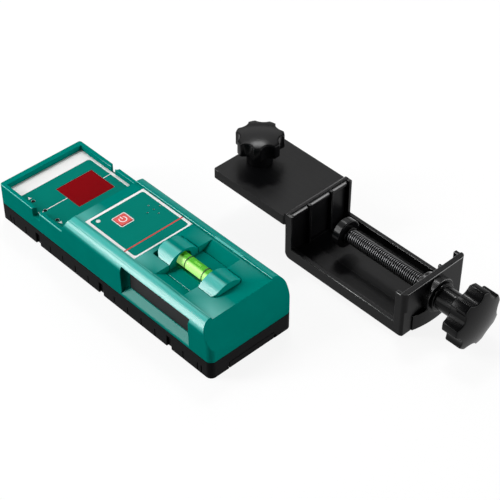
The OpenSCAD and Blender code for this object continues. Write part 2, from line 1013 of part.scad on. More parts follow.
module grip_inlay_left() {
    mirror([1, 0, 0])
        grip_inlay();
}

module battery_door() {
    color(black)
        difference() {
            union() {
                slab(door_half, [-half_l, bay_far + door_far_gap], [door_low, door_top]);
                slab(door_half + tongue_w, [door_end_t - half_l, bay_far + door_far_gap],
                    [tongue_low, tongue_high]);
                slab(door_half, [-half_l, door_end_t - half_l], [door_low, door_end_h]);
            }
            for (i = [1:grip_bar_count])
                slab(door_half/2,
                    [near_corner_r - half_l + i*grip_bar_pitch - grip_bar_w/2,
                        near_corner_r - half_l + i*grip_bar_pitch + grip_bar_w/2],
                    [0, door_low + grip_bar_depth]);
        }
}

// Near contact plane of a cell: the two cells lie head to tail
function cell_near(side) = bay_near + contact_t + (side < 0 ? spring_l : 0);

module batteries() {
    color(cell_gold)
        for (s = [-1, 1]) {
            near = cell_near(s);
            head = s < 0 ? 0 : cell_button_l;
            bar(s*cell_x, cell_z, cell_r, [near + head, near + cell_l - cell_button_l + head]);
            bar(s*cell_x, cell_z, cell_button_r, [near, near + cell_l]);
        }
}

// Points of a conical coil, from its wide foot to its tip
function coil_point(t, turns, foot_r, tip_r, length) = [
    (foot_r + (tip_r - foot_r)*t)*cos(360*turns*t),
    (foot_r + (tip_r - foot_r)*t)*sin(360*turns*t),
    length*t
];

// A round wire swept along the coil
module coil(turns, foot_r, tip_r, length, wire_r) {
    steps = spring_steps*turns;
    sides = spring_sides;
    rings = [
        for (i = [0:steps], k = [0:sides - 1])
            let (
                p = coil_point(i/steps, turns, foot_r, tip_r, length),
                out = [cos(360*turns*i/steps), sin(360*turns*i/steps), 0]
            )
            p + wire_r*(cos(360*k/sides)*out + sin(360*k/sides)*[0, 0, 1])
    ];
    bands = [
        for (i = [0:steps - 1], k = [0:sides - 1])
            [i*sides + k, i*sides + (k + 1) % sides, (i + 1)*sides + (k + 1) % sides, (i + 1)*sides + k]
    ];
    foot = [[for (k = [sides - 1:-1:0]) k]];
    tip = [[for (k = [0:sides - 1]) steps*sides + k]];
    polyhedron(rings, concat(bands, foot, tip), convexity = 8);
}

module battery_springs() {
    color(steel)
        for (s = [-1, 1]) {
            plane = s < 0 ? bay_near : bay_far;
            translate([s*cell_x, plane - s*contact_t - s*spring_wire_r, cell_z])
                rotate([s*90, 0, 0])
                    coil(spring_turns, spring_foot_r, spring_tip_r, spring_l - 2*spring_wire_r,
                        spring_wire_r);
        }
}

// Contact plates at both ends of the bay
module battery_plates() {
    color(steel)
        for (y = [bay_near, bay_far - contact_t])
            slab(bay_half - bay_gap, [y, y + contact_t], [door_top + bay_gap, bay_top - bay_gap]);
}

// Outline of a star knob
module star(r) {
    difference() {
        circle(r);
        for (i = [0:lobes - 1])
            rotate([0, 0, 360*i/lobes])
                translate([scallop_out_share*r, 0])
                    circle(scallop_share*r);
    }
}

// A star knob with a domed face, standing on its neck
module star_knob(r, lobe_h, dome, neck_r, neck_h) {
    dome_r = (r*r + dome*dome)/(2*dome);
    top = neck_h + lobe_h + dome;
    intersection() {
        translate([0, 0, neck_h])
            linear_extrude(lobe_h + dome)
                star(r);
        translate([0, 0, top - dome_r])
            sphere(r = dome_r, $fn = 128);
    }
    cylinder(r = neck_r, h = neck_h + lobe_h/2);
}

// Places a shape that stands on +Z on the screw's axis, so that it points to the knob
module on_screw(y) {
    translate([clamp_x, y, screw_h])
        rotate([90, 0, 0])
            children();
}

// A box in the clamp's own middle plane
module clamp_slab(half, y, z) {
    translate([clamp_x, 0, 0])
        slab(half, y, z);
}

// The plate that carries the receiver, with round far corners
module clamp_plate() {
    translate([clamp_x, plate_far - plate_l/2, plate_low])
        linear_extrude(plate_t)
            round_square(clamp_w + 2*plate_side, plate_l, plate_corner_r);
}

// The fixed jaw between the plate and the channel
module fixed_jaw() {
    clamp_slab(clamp_half, [wall_out - wall_skin, wall_out], [heel_r, plate_h]);
    for (s = [-1, 1]) {
        translate([s*(clamp_half - flange_t/2), 0, 0])
            clamp_slab(flange_t/2, [wall_out - flange_run, wall_out], [heel_r, plate_h + rib_rise]);
        translate([s*rib_share*clamp_half, 0, 0])
            clamp_slab(rib_t/2, [wall_out - flange_run, wall_out], [heel_r, plate_h + rib_rise]);
    }
    lip_bar();
}

// Rounded lip along the top of the fixed jaw
module lip_bar() {
    translate([clamp_x - clamp_half, wall_out - wall_skin/2, plate_h + lip_rise - lip_r])
        rotate([0, 90, 0])
            cylinder(r = lip_r, h = clamp_w);
}

// The channel between the fixed jaw and the end wall
module channel() {
    y = [end_out + end_corner_r, wall_out - heel_r];
    clamp_slab(clamp_half, y, [0, floor_h]);
    for (s = [-1, 1]) {
        translate([s*(clamp_half - rail_w/2), 0, 0])
            clamp_slab(rail_w/2, y, [0, rail_h]);
        translate([s*(clamp_half - tread_w/2), 0, 0])
            clamp_slab(tread_w/2, y, [0, tread_h]);
    }
    intersection() {
        translate([clamp_x - clamp_half, wall_out - heel_r, heel_r])
            rotate([0, 90, 0])
                cylinder(r = heel_r, h = clamp_w);
        union() {
            clamp_slab(clamp_half, [wall_out - 2*heel_r, wall_out], [0, floor_h]);
            clamp_slab(clamp_half, [wall_out - heel_r, wall_out], [0, heel_r]);
            clamp_slab(clamp_half, [wall_out - wall_skin, wall_out], [0, 2*heel_r]);
        }
    }
}

// The bowed foot of the end wall, under the screw's boss
module end_apron() {
    apron_r = (apron_half*apron_half + apron_out*apron_out)/(2*apron_out);
    intersection() {
        post([clamp_x, end_out - apron_out + apron_r], [0, apron_h], apron_r);
        clamp_slab(apron_half, [end_out - apron_out, end_out + end_t], [0, apron_h]);
    }
}

// The end wall that carries the screw, with its side flanges, ribs and boss
module end_wall() {
    intersection() {
        clamp_slab(clamp_half, [end_out, end_out + end_arm], [0, end_h]);
        translate([clamp_x, end_out + channel_l/2, 0])
            linear_extrude(end_h)
                round_square(clamp_w, channel_l, end_corner_r);
        union() {
            clamp_slab(clamp_half, [end_out, end_out + end_t], [end_step_h, end_h]);
            clamp_slab(clamp_half, [end_out + end_step, end_out + end_t], [0, end_h]);
            clamp_slab(clamp_half, [end_out + end_step, end_out + end_arm], [0, floor_h]);
            for (s = [-1, 1]) {
                translate([s*(clamp_half - flange_t/2), 0, 0])
                    clamp_slab(flange_t/2, [end_out + end_step, end_out + end_arm], [0, end_h - arm_drop]);
                translate([s*rib_share*clamp_half, 0, 0])
                    clamp_slab(rib_t/2, [end_out + end_step, end_out + end_rib], [0, end_h - arm_drop]);
            }
        }
    }
    end_apron();
    on_screw(end_out + end_t)
        cylinder(r = screw_boss_r, h = end_t + boss_out);
    on_screw(end_out + end_t + nut_boss_in)
        cylinder(r = screw_boss_in_r, h = end_t + nut_boss_in);
}

module clamp_frame() {
    color(black)
        difference() {
            union() {
                clamp_plate();
                fixed_jaw();
                channel();
                end_wall();
            }
            on_screw(end_out + end_t + nut_boss_in + overrun)
                cylinder(r = bush_r, h = end_t + nut_boss_in + boss_out + 2*overrun);
            on_screw(end_out + end_t + nut_boss_in + overrun)
                cylinder(r = bush_flange_r, h = overrun + bush_flange_t);
            post([clamp_x, stud_y], [plate_low - overrun, plate_h + overrun], stud_r + turn_gap);
            post([clamp_x, stud_y], [plate_low - overrun, plate_low + clip_pocket], clip_pocket_r);
        }
}

module thread_bush() {
    color(brass)
        difference() {
            union() {
                on_screw(end_out + end_t + nut_boss_in)
                    cylinder(r = bush_r, h = end_t + nut_boss_in + boss_out);
                on_screw(end_out + end_t + nut_boss_in)
                    cylinder(r = bush_flange_r, h = bush_flange_t);
            }
            on_screw(end_out + end_t + nut_boss_in + overrun)
                cylinder(r = screw_hole_r, h = end_t + nut_boss_in + boss_out + 2*overrun);
        }
}

// Ridges of the clamp screw, between two stations along its axis
module ridges(low, high) {
    count = floor((high - low)/screw_pitch);
    points = [
        for (i = [0:count - 1], p = [[screw_core_r, 0], [screw_r, screw_pitch/2]])
            [p[0], low + i*screw_pitch + p[1]]
    ];
    rotate_extrude()
        polygon(concat([[0, low]], points, [[screw_core_r, high], [0, high]]));
}

module clamp_screw() {
    shoulder = pad_back - turn_gap;
    thread_l = shoulder - collar_t - boss_face + thread_runout;
    total = shoulder - boss_face + neck_ring_t + knob_bite;
    washer_seat = pad_face - pad_pocket;
    color(black)
        on_screw(shoulder) {
            cylinder(r = collar_r, h = collar_t);
            ridges(collar_t, thread_l);
            translate([0, 0, thread_l])
                cylinder(r = screw_core_r, h = total - thread_l);
            translate([0, 0, shoulder - washer_seat - turn_gap])
                cylinder(r = screw_core_r, h = washer_seat + turn_gap - shoulder + overrun);
            translate([0, 0, shoulder - washer_seat - turn_gap - tip_l])
                cylinder(r = tip_r, h = tip_l + overrun);
        }
}

module clamp_knob() {
    mouth = boss_face - turn_gap;
    color(black)
        difference() {
            union() {
                on_screw(mouth)
                    cylinder(r = neck_ring_r, h = neck_ring_t);
                on_screw(mouth - neck_ring_t)
                    star_knob(knob_d/2, knob_t - knob_dome, knob_dome, neck_r, neck_l);
            }
            on_screw(mouth + overrun)
                cylinder(r = screw_core_r, h = overrun + neck_ring_t + knob_bite - turn_gap);
        }
}

module pressure_pad() {
    color(black)
        difference() {
            on_screw(pad_face)
                cylinder(r = pad_r, h = pad_t);
            on_screw(pad_face + overrun)
                cylinder(r = pad_pocket_r, h = overrun + pad_pocket);
            on_screw(pad_face + overrun)
                cylinder(r = screw_core_r + turn_gap, h = pad_t + 2*overrun);
        }
}

module pad_washer() {
    color(steel)
        difference() {
            on_screw(pad_face - pad_pocket + turn_gap + washer_t)
                cylinder(r = washer_r, h = washer_t);
            on_screw(pad_face + overrun)
                cylinder(r = tip_r, h = pad_t);
        }
}

module mount_knob() {
    color(black)
        difference() {
            translate([clamp_x, stud_y, plate_h + mount_seat_gap])
                rotate([0, 0, mount_turn])
                    star_knob(mount_knob_d/2, mount_lobe_h, mount_dome, mount_neck_r, mount_neck_h);
            post([clamp_x, stud_y], [plate_h - overrun, plate_h + stud_bite], stud_r);
        }
}

module mount_stud() {
    clip_z = plate_low + clip_pocket - turn_gap - clip_t;
    color(steel)
        difference() {
            post([clamp_x, stud_y], [plate_low - stud_reach, plate_h + stud_bite], stud_r);
            difference() {
                post([clamp_x, stud_y], [clip_z, clip_z + clip_t], stud_r + overrun);
                post([clamp_x, stud_y], [clip_z - overrun, clip_z + clip_t + overrun], stud_r - clip_groove);
            }
        }
}

module stud_clip() {
    clip_z = plate_low + clip_pocket - turn_gap - clip_t;
    color(steel)
        difference() {
            post([clamp_x, stud_y], [clip_z, clip_z + clip_t], clip_r);
            post([clamp_x, stud_y], [clip_z - overrun, clip_z + clip_t + overrun], stud_r - clip_groove);
        }
}

front_housing();
rear_housing();
case_gasket();
case_screws();
bracket_insert();
sensor_window();
sensor_label();
sensor_board();
photodiodes();
direction_leds();
keypad_label();
power_button();
switch_plunger();
tact_switch();
power_led();
beeper();
main_board();
board_ribbon();
board_screws();
vial_carrier();
vial_tube();
vial_liquid();
vial_rings();
grip_inlay_left();
grip_inlay_right();
battery_door();
batteries();
battery_springs();
battery_plates();
clamp_frame();
thread_bush();
clamp_screw();
clamp_knob();
pressure_pad();
pad_washer();
mount_knob();
mount_stud();
stud_clip();
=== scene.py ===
import json
import math

import bmesh
import bpy
from mathutils import Matrix, Vector, geometry
from mathutils.bvhtree import BVHTree

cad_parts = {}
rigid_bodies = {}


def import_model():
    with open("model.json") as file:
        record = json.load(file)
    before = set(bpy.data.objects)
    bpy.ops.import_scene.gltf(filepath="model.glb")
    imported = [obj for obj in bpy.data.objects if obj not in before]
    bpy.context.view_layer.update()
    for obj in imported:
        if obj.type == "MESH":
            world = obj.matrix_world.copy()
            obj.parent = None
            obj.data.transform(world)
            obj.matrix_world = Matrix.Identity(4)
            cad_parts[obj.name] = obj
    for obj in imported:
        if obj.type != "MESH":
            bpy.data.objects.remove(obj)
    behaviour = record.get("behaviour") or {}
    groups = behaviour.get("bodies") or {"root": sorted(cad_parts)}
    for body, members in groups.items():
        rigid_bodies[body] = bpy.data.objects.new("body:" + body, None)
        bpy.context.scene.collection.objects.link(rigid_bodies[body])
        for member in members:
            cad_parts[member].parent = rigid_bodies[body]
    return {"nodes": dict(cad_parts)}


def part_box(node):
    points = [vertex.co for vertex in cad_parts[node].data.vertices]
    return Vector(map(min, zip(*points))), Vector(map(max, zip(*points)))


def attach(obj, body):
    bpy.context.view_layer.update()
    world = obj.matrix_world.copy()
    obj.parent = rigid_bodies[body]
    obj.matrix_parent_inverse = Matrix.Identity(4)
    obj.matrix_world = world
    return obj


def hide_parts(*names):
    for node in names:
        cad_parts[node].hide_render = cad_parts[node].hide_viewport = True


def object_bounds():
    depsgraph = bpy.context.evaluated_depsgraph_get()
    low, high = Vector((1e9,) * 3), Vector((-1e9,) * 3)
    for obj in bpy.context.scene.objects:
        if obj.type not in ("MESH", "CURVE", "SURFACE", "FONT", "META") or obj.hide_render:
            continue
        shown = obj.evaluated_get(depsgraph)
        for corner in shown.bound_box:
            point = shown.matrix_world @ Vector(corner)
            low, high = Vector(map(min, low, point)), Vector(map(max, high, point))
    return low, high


# Laser receiver and its staff clamp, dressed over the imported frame
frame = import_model()
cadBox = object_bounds()
nodes = frame["nodes"]
scene = bpy.context.scene
mm = 0.001
print("frame loaded:", len(nodes), "nodes")

# Camera, at the photograph's viewing angle
photoCamera = {
    "aim": (51.62, -27.55, 0.0),
    "azimuth": -43.24,
    "elevation": 41.86,
    "distance": 815.07,
    "lens": 110.33,
    "sensor": 36.0,
    "clip": (10, 20000),
}


def inScene(name, data):
    thing = bpy.data.objects.new(name, data)
    scene.collection.objects.link(thing)
    return thing


def placeCamera(spec):
    azimuth, elevation = (math.radians(spec[label]) for label in ("azimuth", "elevation"))
    back = Vector((
        math.cos(elevation) * math.sin(azimuth),
        -math.cos(elevation) * math.cos(azimuth),
        math.sin(elevation),
    ))
    aim = Vector(spec["aim"])
    place = aim + spec["distance"] * back
    data = bpy.data.cameras.new("photoCamera")
    data.lens, data.sensor_width = spec["lens"], spec["sensor"]
    data.clip_start, data.clip_end = (length * mm for length in spec["clip"])
    camera = inScene("photoCamera", data)
    turn = (aim - place).to_track_quat("-Z", "Y").to_matrix().to_4x4()
    camera.matrix_world = Matrix.Translation(place * mm) @ turn
    scene.camera = camera


placeCamera(photoCamera)
scene.view_settings.view_transform = "Standard"
print("camera set")

# Light: two strips over the far side, a dim box for flat tops, wide fills and a small lamp for the domes
softBoxes = {
    "keyStrip": {"toward": (-0.649, 0.543, 0.533), "along": (0.634, 0, 0.773), "size": (940, 240), "power": 12.8},
    "crownStrip": {"toward": (-0.053, 0.543, 0.838), "along": (1, 0, 0.06), "size": (1070, 240), "power": 2.4},
    "plateBox": {"toward": (0.51, 0.543, 0.667), "along": (1, -1, 0), "size": (900, 900), "power": 5.0},
    "leftBox": {"toward": (-0.75, 0.64, 0.17), "along": (0.64, 0.75, 0), "size": (1800, 1000), "power": 13.0},
    "frontBox": {"toward": (0.5, -0.84, 0.22), "along": (0.84, 0.5, 0), "size": (1800, 1000), "power": 23.0},
    "domeBox": {"toward": (0.374, 0.399, 0.836), "along": (0.729, -0.685, 0), "size": (280, 140), "power": 4.2},
}
studio = {"aim": (35, -25, 15), "reach": 1400}
room = {"glow": 0.04, "backdrop": 1.0, "ceiling": 0.03, "backdropTop": 0.2, "ceilingLow": 0.42,
        "floorHalf": 3000, "floorTint": 0.12, "floorRough": 0.9, "floorGlow": 0.88, "floorDrop": 0.02}
white = (1, 1, 1, 1)


def laidAlong(place, aim, along):
    # faces the aim with its long side laid along a direction
    back = (Vector(place) - Vector(aim)).normalized()
    side = (Vector(along) - back * back.dot(Vector(along))).normalized()
    return Matrix((side, back.cross(side), back)).transposed().to_4x4()


def placeSoftBox(name, spec):
    data = bpy.data.lights.new(name, "AREA")
    data.shape = "RECTANGLE"
    data.size, data.size_y = (length * mm for length in spec["size"])
    data.energy = spec["power"]
    lamp = inScene(name, data)
    place = Vector(studio["aim"]) + Vector(spec["toward"]).normalized() * studio["reach"]
    lamp.matrix_world = Matrix.Translation(place * mm) @ laidAlong(place, studio["aim"], spec["along"])


def setInputs(tree, node, values):
    # numbers are set and sockets are linked
    for label, value in values.items():
        if isinstance(value, bpy.types.NodeSocket):
            tree.links.new(value, node.inputs[label])
        else:
            node.inputs[label].default_value = value


def addNode(tree, kind, values=None, **settings):
    node = tree.nodes.new(kind)
    for label, value in settings.items():
        setattr(node, label, value)
    setInputs(tree, node, values or {})
    return node.outputs


def mathOn(tree, operation, *values):
    return addNode(tree, "ShaderNodeMath", dict(enumerate(values)), operation=operation)[0]


def mapped(tree, value, start, end, low, high):
    return addNode(tree, "ShaderNodeMapRange", {
        "Value": value, "From Min": start, "From Max": end, "To Min": low, "To Max": high})["Result"]


def seenDirectly(tree):
    # 1 for camera, glossy and transmission rays, 0 for the rays that light the object
    path = addNode(tree, "ShaderNodeLightPath")
    straight = mathOn(tree, "MAXIMUM", path["Is Camera Ray"], path["Is Glossy Ray"])
    return mathOn(tree, "MAXIMUM", straight, path["Is Transmission Ray"])


def lightRoom(spec):
    world = bpy.data.worlds.new("studio")
    scene.world = world
    world.use_nodes = True
    tree = world.node_tree
    # a white backdrop all round and a dim ceiling over it
    around = addNode(tree, "ShaderNodeTexCoord")["Generated"]
    height = addNode(tree, "ShaderNodeSeparateXYZ", {0: around})["Z"]
    sweep = mapped(tree, height, spec["backdropTop"], spec["ceilingLow"], spec["backdrop"], spec["ceiling"])
    level = mapped(tree, seenDirectly(tree), 0.0, 1.0, spec["glow"], sweep)
    setInputs(tree, tree.nodes["Background"], {"Color": white, "Strength": level})


def newMaterial(name):
    material = bpy.data.materials.new(name)
    material.use_nodes = True
    return material, material.node_tree, material.node_tree.nodes["Principled BSDF"]


def layFloor(spec):
    half = spec["floorHalf"] * mm
    mesh = bpy.data.meshes.new("floor")
    mesh.from_pydata([(-half, -half, 0), (half, -half, 0), (half, half, 0), (-half, half, 0)], [], [(0, 1, 2, 3)])
    floor = inScene("floor", mesh)
    material, tree, shader = newMaterial("paleFloor")
    tint = spec["floorTint"]
    glow = mathOn(tree, "MULTIPLY", seenDirectly(tree), spec["floorGlow"])
    setInputs(tree, shader, {
        "Base Color": (tint, tint, tint, 1), "Roughness": spec["floorRough"], "Specular IOR Level": 0.0,
        "Emission Color": white, "Emission Strength": glow})
    mesh.materials.append(material)
    floor.location.z = cadBox[0][2] - spec["floorDrop"] * mm


for boxName, boxSpec in softBoxes.items():
    placeSoftBox(boxName, boxSpec)
lightRoom(room)
layFloor(room)
print("light and floor set")

# Shader groups that several finishes share, and the values of a finish that names none
grainRule = {
    "middle": (0.3, 0.7), "cloudDetail": 3.0, "grainDetail": 2.0, "drawnOut": (1.0, 0.03, 1.0),
    "drift": 0.05, "bump": 0.5, "shine": 0.5,
}


def newSocket(tree, label, kind, way="INPUT"):
    return tree.interface.new_socket(label, in_out=way, socket_type="NodeSocket" + kind)


def groupSockets(tree, inputs, outputs):
    for label, kind, value in inputs:
        newSocket(tree, label, kind).default_value = value
    for label, kind in outputs:
        newSocket(tree, label, kind, "OUTPUT")
    return addNode(tree, "NodeGroupInput"), tree.nodes.new("NodeGroupOutput")


def shaderNoise(tree, vector, scale, detail):
    return addNode(tree, "ShaderNodeTexNoise", {"Vector": vector, "Scale": scale, "Detail": detail})["Fac"]


def spread(tree, value, low, high):
    # maps the useful middle of a noise between two levels
    return mapped(tree, value, *grainRule["middle"], low, high)


def scaledColor(tree, color, factor):
    return addNode(tree, "ShaderNodeVectorMath", {0: color, "Scale": factor}, operation="SCALE")[0]


def objectPlace(tree):
    return addNode(tree, "ShaderNodeTexCoord")["Object"]


def buildMouldGrain():
    # moulded plastic or ink: slow colour drift, fine grain, uneven gloss
    tree = bpy.data.node_groups.new("mouldGrain", "ShaderNodeTree")
    source, sink = groupSockets(tree, [
        ("Tint", "Color", (0.5, 0.5, 0.5, 1)), ("Darkest", "Float", 0.95), ("Lightest", "Float", 1.05),
        ("Cloud Scale", "Float", 60.0), ("Grain Scale", "Float", 3000.0),
        ("Smoothest", "Float", 0.35), ("Roughest", "Float", 0.45),
    ], [("Color", "Color"), ("Roughness", "Float"), ("Height", "Float")])
    place = objectPlace(tree)
    cloud = shaderNoise(tree, place, source["Cloud Scale"], grainRule["cloudDetail"])
    grain = shaderNoise(tree, place, source["Grain Scale"], grainRule["grainDetail"])
    drift = spread(tree, cloud, source["Darkest"], source["Lightest"])
    gloss = spread(tree, grain, source["Smoothest"], source["Roughest"])
    setInputs(tree, sink, {"Color": scaledColor(tree, source["Tint"], drift), "Roughness": gloss, "Height": grain})
    return tree


def buildDrawnStreaks():
    # fine marks drawn out along Y
    tree = bpy.data.node_groups.new("drawnStreaks", "ShaderNodeTree")
    source, sink = groupSockets(tree, [
        ("Color", "Color", (0.5, 0.5, 0.5, 1)), ("Darkest", "Float", 0.8), ("Lightest", "Float", 1.2),
        ("Streak Scale", "Float", 900.0),
    ], [("Color", "Color"), ("Height", "Float")])
    stretch = addNode(tree, "ShaderNodeMapping", {
        "Vector": objectPlace(tree), "Scale": grainRule["drawnOut"]})["Vector"]
    streak = shaderNoise(tree, stretch, source["Streak Scale"], grainRule["grainDetail"])
    shade = spread(tree, streak, source["Darkest"], source["Lightest"])
    setInputs(tree, sink, {"Color": scaledColor(tree, source["Color"], shade), "Height": streak})
    return tree


mouldGrain = buildMouldGrain()
drawnStreaks = buildDrawnStreaks()

# Finishes: tint in linear colour, gloss range, grain in bumps per metre, bump depth in millimetres, and
# shine, the specular level; polished gives the tilts in degrees that get a coat, and the lighter tint mixed in
# over the mask is painted light
finishes = {
    # tealShell's lighter tint is painted highlight on the rounded edges and left flats that face the light
    "tealShell": {"tint": (0.0, 0.19, 0.155), "gloss": (0.36, 0.44), "grain": 2600, "depth": 0.02,
                  "polished": {"rise": (4, 12), "fall": (62, 74), "across": 3, "right": 0.25,
                               "sill": 16, "onSill": 0.25},
                  "sheen": {"left": -16, "right": -4, "level": 0.5}, "paintedLightTint": (0.0, 0.40, 0.35),
                  "shine": 0.0, "shader": {"Coat Roughness": 0.3, "Coat IOR": 1.6}},
    "blackBase": {"tint": (0.005, 0.005, 0.0055), "gloss": (0.4, 0.5), "grain": 2600, "depth": 0.02,
                  "shine": 0.02},
    "clampBlack": {"tint": (0.003, 0.003, 0.0034), "gloss": (0.34, 0.42), "grain": 2200, "depth": 0.045,
                   "streaks": 900, "polished": {"rise": (8, 20), "fall": (66, 80), "across": 0, "right": 1},
                   "shine": 0.1, "shader": {"Coat Roughness": 0.24, "Coat IOR": 1.6}},
    "knobBlack": {"tint": (0.003, 0.003, 0.0033), "gloss": (0.16, 0.22), "grain": 2200, "depth": 0.004,
                  "shine": 0.1},
    "gripRubber": {"tint": (0.010, 0.010, 0.0105), "gloss": (0.55, 0.68), "grain": 3200, "depth": 0.03,
                   "shine": 0.2},
    "sealRubber": {"tint": (0.02, 0.02, 0.02), "gloss": (0.6, 0.75), "grain": 3000, "depth": 0.02},
    "redFilter": {"tint": (0.215, 0.0006, 0.003), "gloss": (0.28, 0.32), "grain": 400, "depth": 0.001,
                  "drift": 0.02, "shine": 0.01},
    "labelWhite": {"tint": (0.80, 0.79, 0.785), "gloss": (0.45, 0.55), "grain": 5000, "depth": 0.003,
                   "drift": 0.02, "shine": 0.2},
    "labelTeal": {"tint": (0.0, 0.182, 0.143), "gloss": (0.45, 0.55), "grain": 5000, "depth": 0.003,
                  "drift": 0.025, "shine": 0.01},
    "labelRed": {"tint": (0.53, 0.03, 0.03), "gloss": (0.45, 0.55), "grain": 5000, "depth": 0.003, "shine": 0.15},
    "buttonRed": {"tint": (0.66, 0.078, 0.066), "gloss": (0.4, 0.5), "grain": 3000, "depth": 0.008, "shine": 0.2},
    "lensDark": {"tint": (0.006, 0.003, 0.003), "gloss": (0.06, 0.12), "grain": 900, "depth": 0.002,
                 "shine": 0.04},
    "lampPale": {"tint": (0.62, 0.68, 0.66), "gloss": (0.2, 0.3), "grain": 1500, "depth": 0.004},
    "boardGreen": {"tint": (0.01, 0.075, 0.022), "gloss": (0.3, 0.42), "grain": 1800, "depth": 0.01,
                   "drift": 0.25},
    "ribbonGrey": {"tint": (0.5, 0.5, 0.52), "gloss": (0.4, 0.55), "grain": 2500, "depth": 0.01, "streaks": 700},
    "vialClear": {"tint": (0.35, 0.7, 0.15), "gloss": (0.06, 0.1), "grain": 300, "depth": 0.002,
                  "drift": 0.015, "shine": 0.2, "shader": {"Alpha": 0.06}},
    # vialLime's lighter tint and glow paint light into the left half of the liquid
    "vialLime": {"tint": (0.06, 0.45, 0.006), "gloss": (0.3, 0.36), "grain": 300, "depth": 0.002, "drift": 0.06,
                 "paintedLightTint": (0.5, 0.95, 0.26), "glow": 0.45, "shine": 0.1},
    "bubblePale": {"tint": (0.16, 0.62, 0.03), "gloss": (0.2, 0.28), "grain": 300, "depth": 0.002, "drift": 0.03,
                   "shine": 0.1, "shader": {"Coat Weight": 0.3, "Coat Roughness": 0.2}},
    "ringInk": {"tint": (0.01, 0.025, 0.008), "gloss": (0.4, 0.5), "grain": 3000, "depth": 0.003},
    "cellWrap": {"tint": (0.42, 0.36, 0.11), "gloss": (0.25, 0.35), "grain": 900, "depth": 0.006, "drift": 0.1,
                 "streaks": 500, "shader": {"Metallic": 0.6}},
    "platedSteel": {"tint": (0.58, 0.58, 0.6), "gloss": (0.24, 0.34), "grain": 2400, "depth": 0.006,
                    "streaks": 800, "shader": {"Metallic": 1.0}},
    # blackSteel's lighter tint on the thread crests is wear and painted highlight
    "blackSteel": {"tint": (0.012, 0.012, 0.0125), "gloss": (0.3, 0.38), "grain": 2600, "depth": 0.004,
                   "paintedLightTint": (0.08, 0.08, 0.083), "shader": {"Metallic": 0.85}},
    "turnedBrass": {"tint": (0.62, 0.43, 0.15), "gloss": (0.22, 0.32), "grain": 2400, "depth": 0.006,
                    "streaks": 800, "shader": {"Metallic": 1.0}},
}


def maskOf(tree, label):
    return addNode(tree, "ShaderNodeAttribute", attribute_name=label)["Fac"]


def withSheen(tree, coatWearAndPaintedLight, sheen):
    # flat tops shine a little, more toward the left: a coat, and a painted lighter colour where the finish has a
    # painted-light tint
    x = addNode(tree, "ShaderNodeSeparateXYZ", {0: objectPlace(tree)})["X"]
    across = mapped(tree, x, sheen["right"] * mm, sheen["left"] * mm, 0.0, sheen["level"])
    return mathOn(tree, "MAXIMUM", coatWearAndPaintedLight, mathOn(tree, "MULTIPLY", across, maskOf(tree, "flatTop")))


def mixPaintedLight(tree, color, paintedLightTint, mask):
    # paints light as colour, a lighter tint mixed in by the mask; a colour mix has its factor and colours on
    # inputs 0, 6 and 7, and its result on output 2
    return addNode(tree, "ShaderNodeMix", {0: mask, 6: color, 7: (*paintedLightTint, 1)}, data_type="RGBA")[2]


def makeFinish(name, look):
    material, tree, shader = newMaterial(name)
    drift = look.get("drift", grainRule["drift"])
    grain = addNode(tree, "ShaderNodeGroup", {
        "Tint": (*look["tint"], 1), "Darkest": 1 - drift, "Lightest": 1 + drift, "Grain Scale": look["grain"],
        "Smoothest": look["gloss"][0], "Roughest": look["gloss"][1]}, node_tree=mouldGrain)
    color, height = grain["Color"], grain["Height"]
    if "streaks" in look:
        streaks = addNode(tree, "ShaderNodeGroup", {
            "Color": color, "Streak Scale": look["streaks"]}, node_tree=drawnStreaks)
        color, height = streaks["Color"], streaks["Height"]
    coatWearAndPaintedLight = maskOf(tree, "coatWearAndPaintedLight") if "paintedLightTint" in look or "polished" in look else None
    if "sheen" in look:
        coatWearAndPaintedLight = withSheen(tree, coatWearAndPaintedLight, look["sheen"])
    # painted light: a lighter tint is mixed into the colour where the mask is up
    if "paintedLightTint" in look:
        color = mixPaintedLight(tree, color, look["paintedLightTint"], coatWearAndPaintedLight)
    bump = addNode(tree, "ShaderNodeBump", {
        "Strength": grainRule["bump"], "Distance": look["depth"] * mm, "Height": height})["Normal"]
    setInputs(tree, shader, {
        "Base Color": color, "Roughness": grain["Roughness"], "Normal": bump,
        "Specular IOR Level": look.get("shine", grainRule["shine"]), **look.get("shader", {})})
    if "polished" in look:
        setInputs(tree, shader, {"Coat Weight": coatWearAndPaintedLight})
    # painted light: a glow of the lighter colour where the mask is up
    if "glow" in look:
        setInputs(tree, shader, {
            "Emission Color": scaledColor(tree, color, coatWearAndPaintedLight), "Emission Strength": look["glow"]})
    return material


finish = {name: makeFinish(name, look) for name, look in finishes.items()}
print("finishes made:", len(finish))


# Mesh helpers
def boxOf(node):
    low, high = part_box(node)
    return [value / mm for value in low], [value / mm for value in high]


def planOf(node):
    # the left, right, near and far sides of a node
    low, high = boxOf(node)
    return low[0], high[0], low[1], high[1]


def topOf(node):
    return boxOf(node)[1][2]


def centerOf(node):
    left, right, near, far = planOf(node)
    return (left + right) / 2, (near + far) / 2


def meshOf(name, form):
    mesh = bpy.data.meshes.new(name)
    form.to_mesh(mesh)
    form.free()
    return mesh


def faceOutward(mesh, weld=0):
    form = bmesh.new()
    form.from_mesh(mesh)
    if weld:
        bmesh.ops.remove_doubles(form, verts=form.verts, dist=weld * mm)
    bmesh.ops.recalc_face_normals(form, faces=form.faces)
    form.to_mesh(mesh)
    form.free()


softAngle = 32


def shadeSoft(mesh, limit=softAngle):
    mesh.polygons.foreach_set("use_smooth", [True] * len(mesh.polygons))
    mesh.set_sharp_from_angle(angle=math.radians(limit))


# how far out a shell starts to take coat and painted highlight, and what counts as facing right (away from the
# light, so painted less) and as a flat top
coatAndPaintedLightRule = {"beyond": {"frontShell": 19.0}, "facingRight": 0.05, "flatTilt": 2, "flatLow": 31.5}


def ramp(value, start, end):
    return min(max((value - start) / (end - start), 0.0), 1.0)


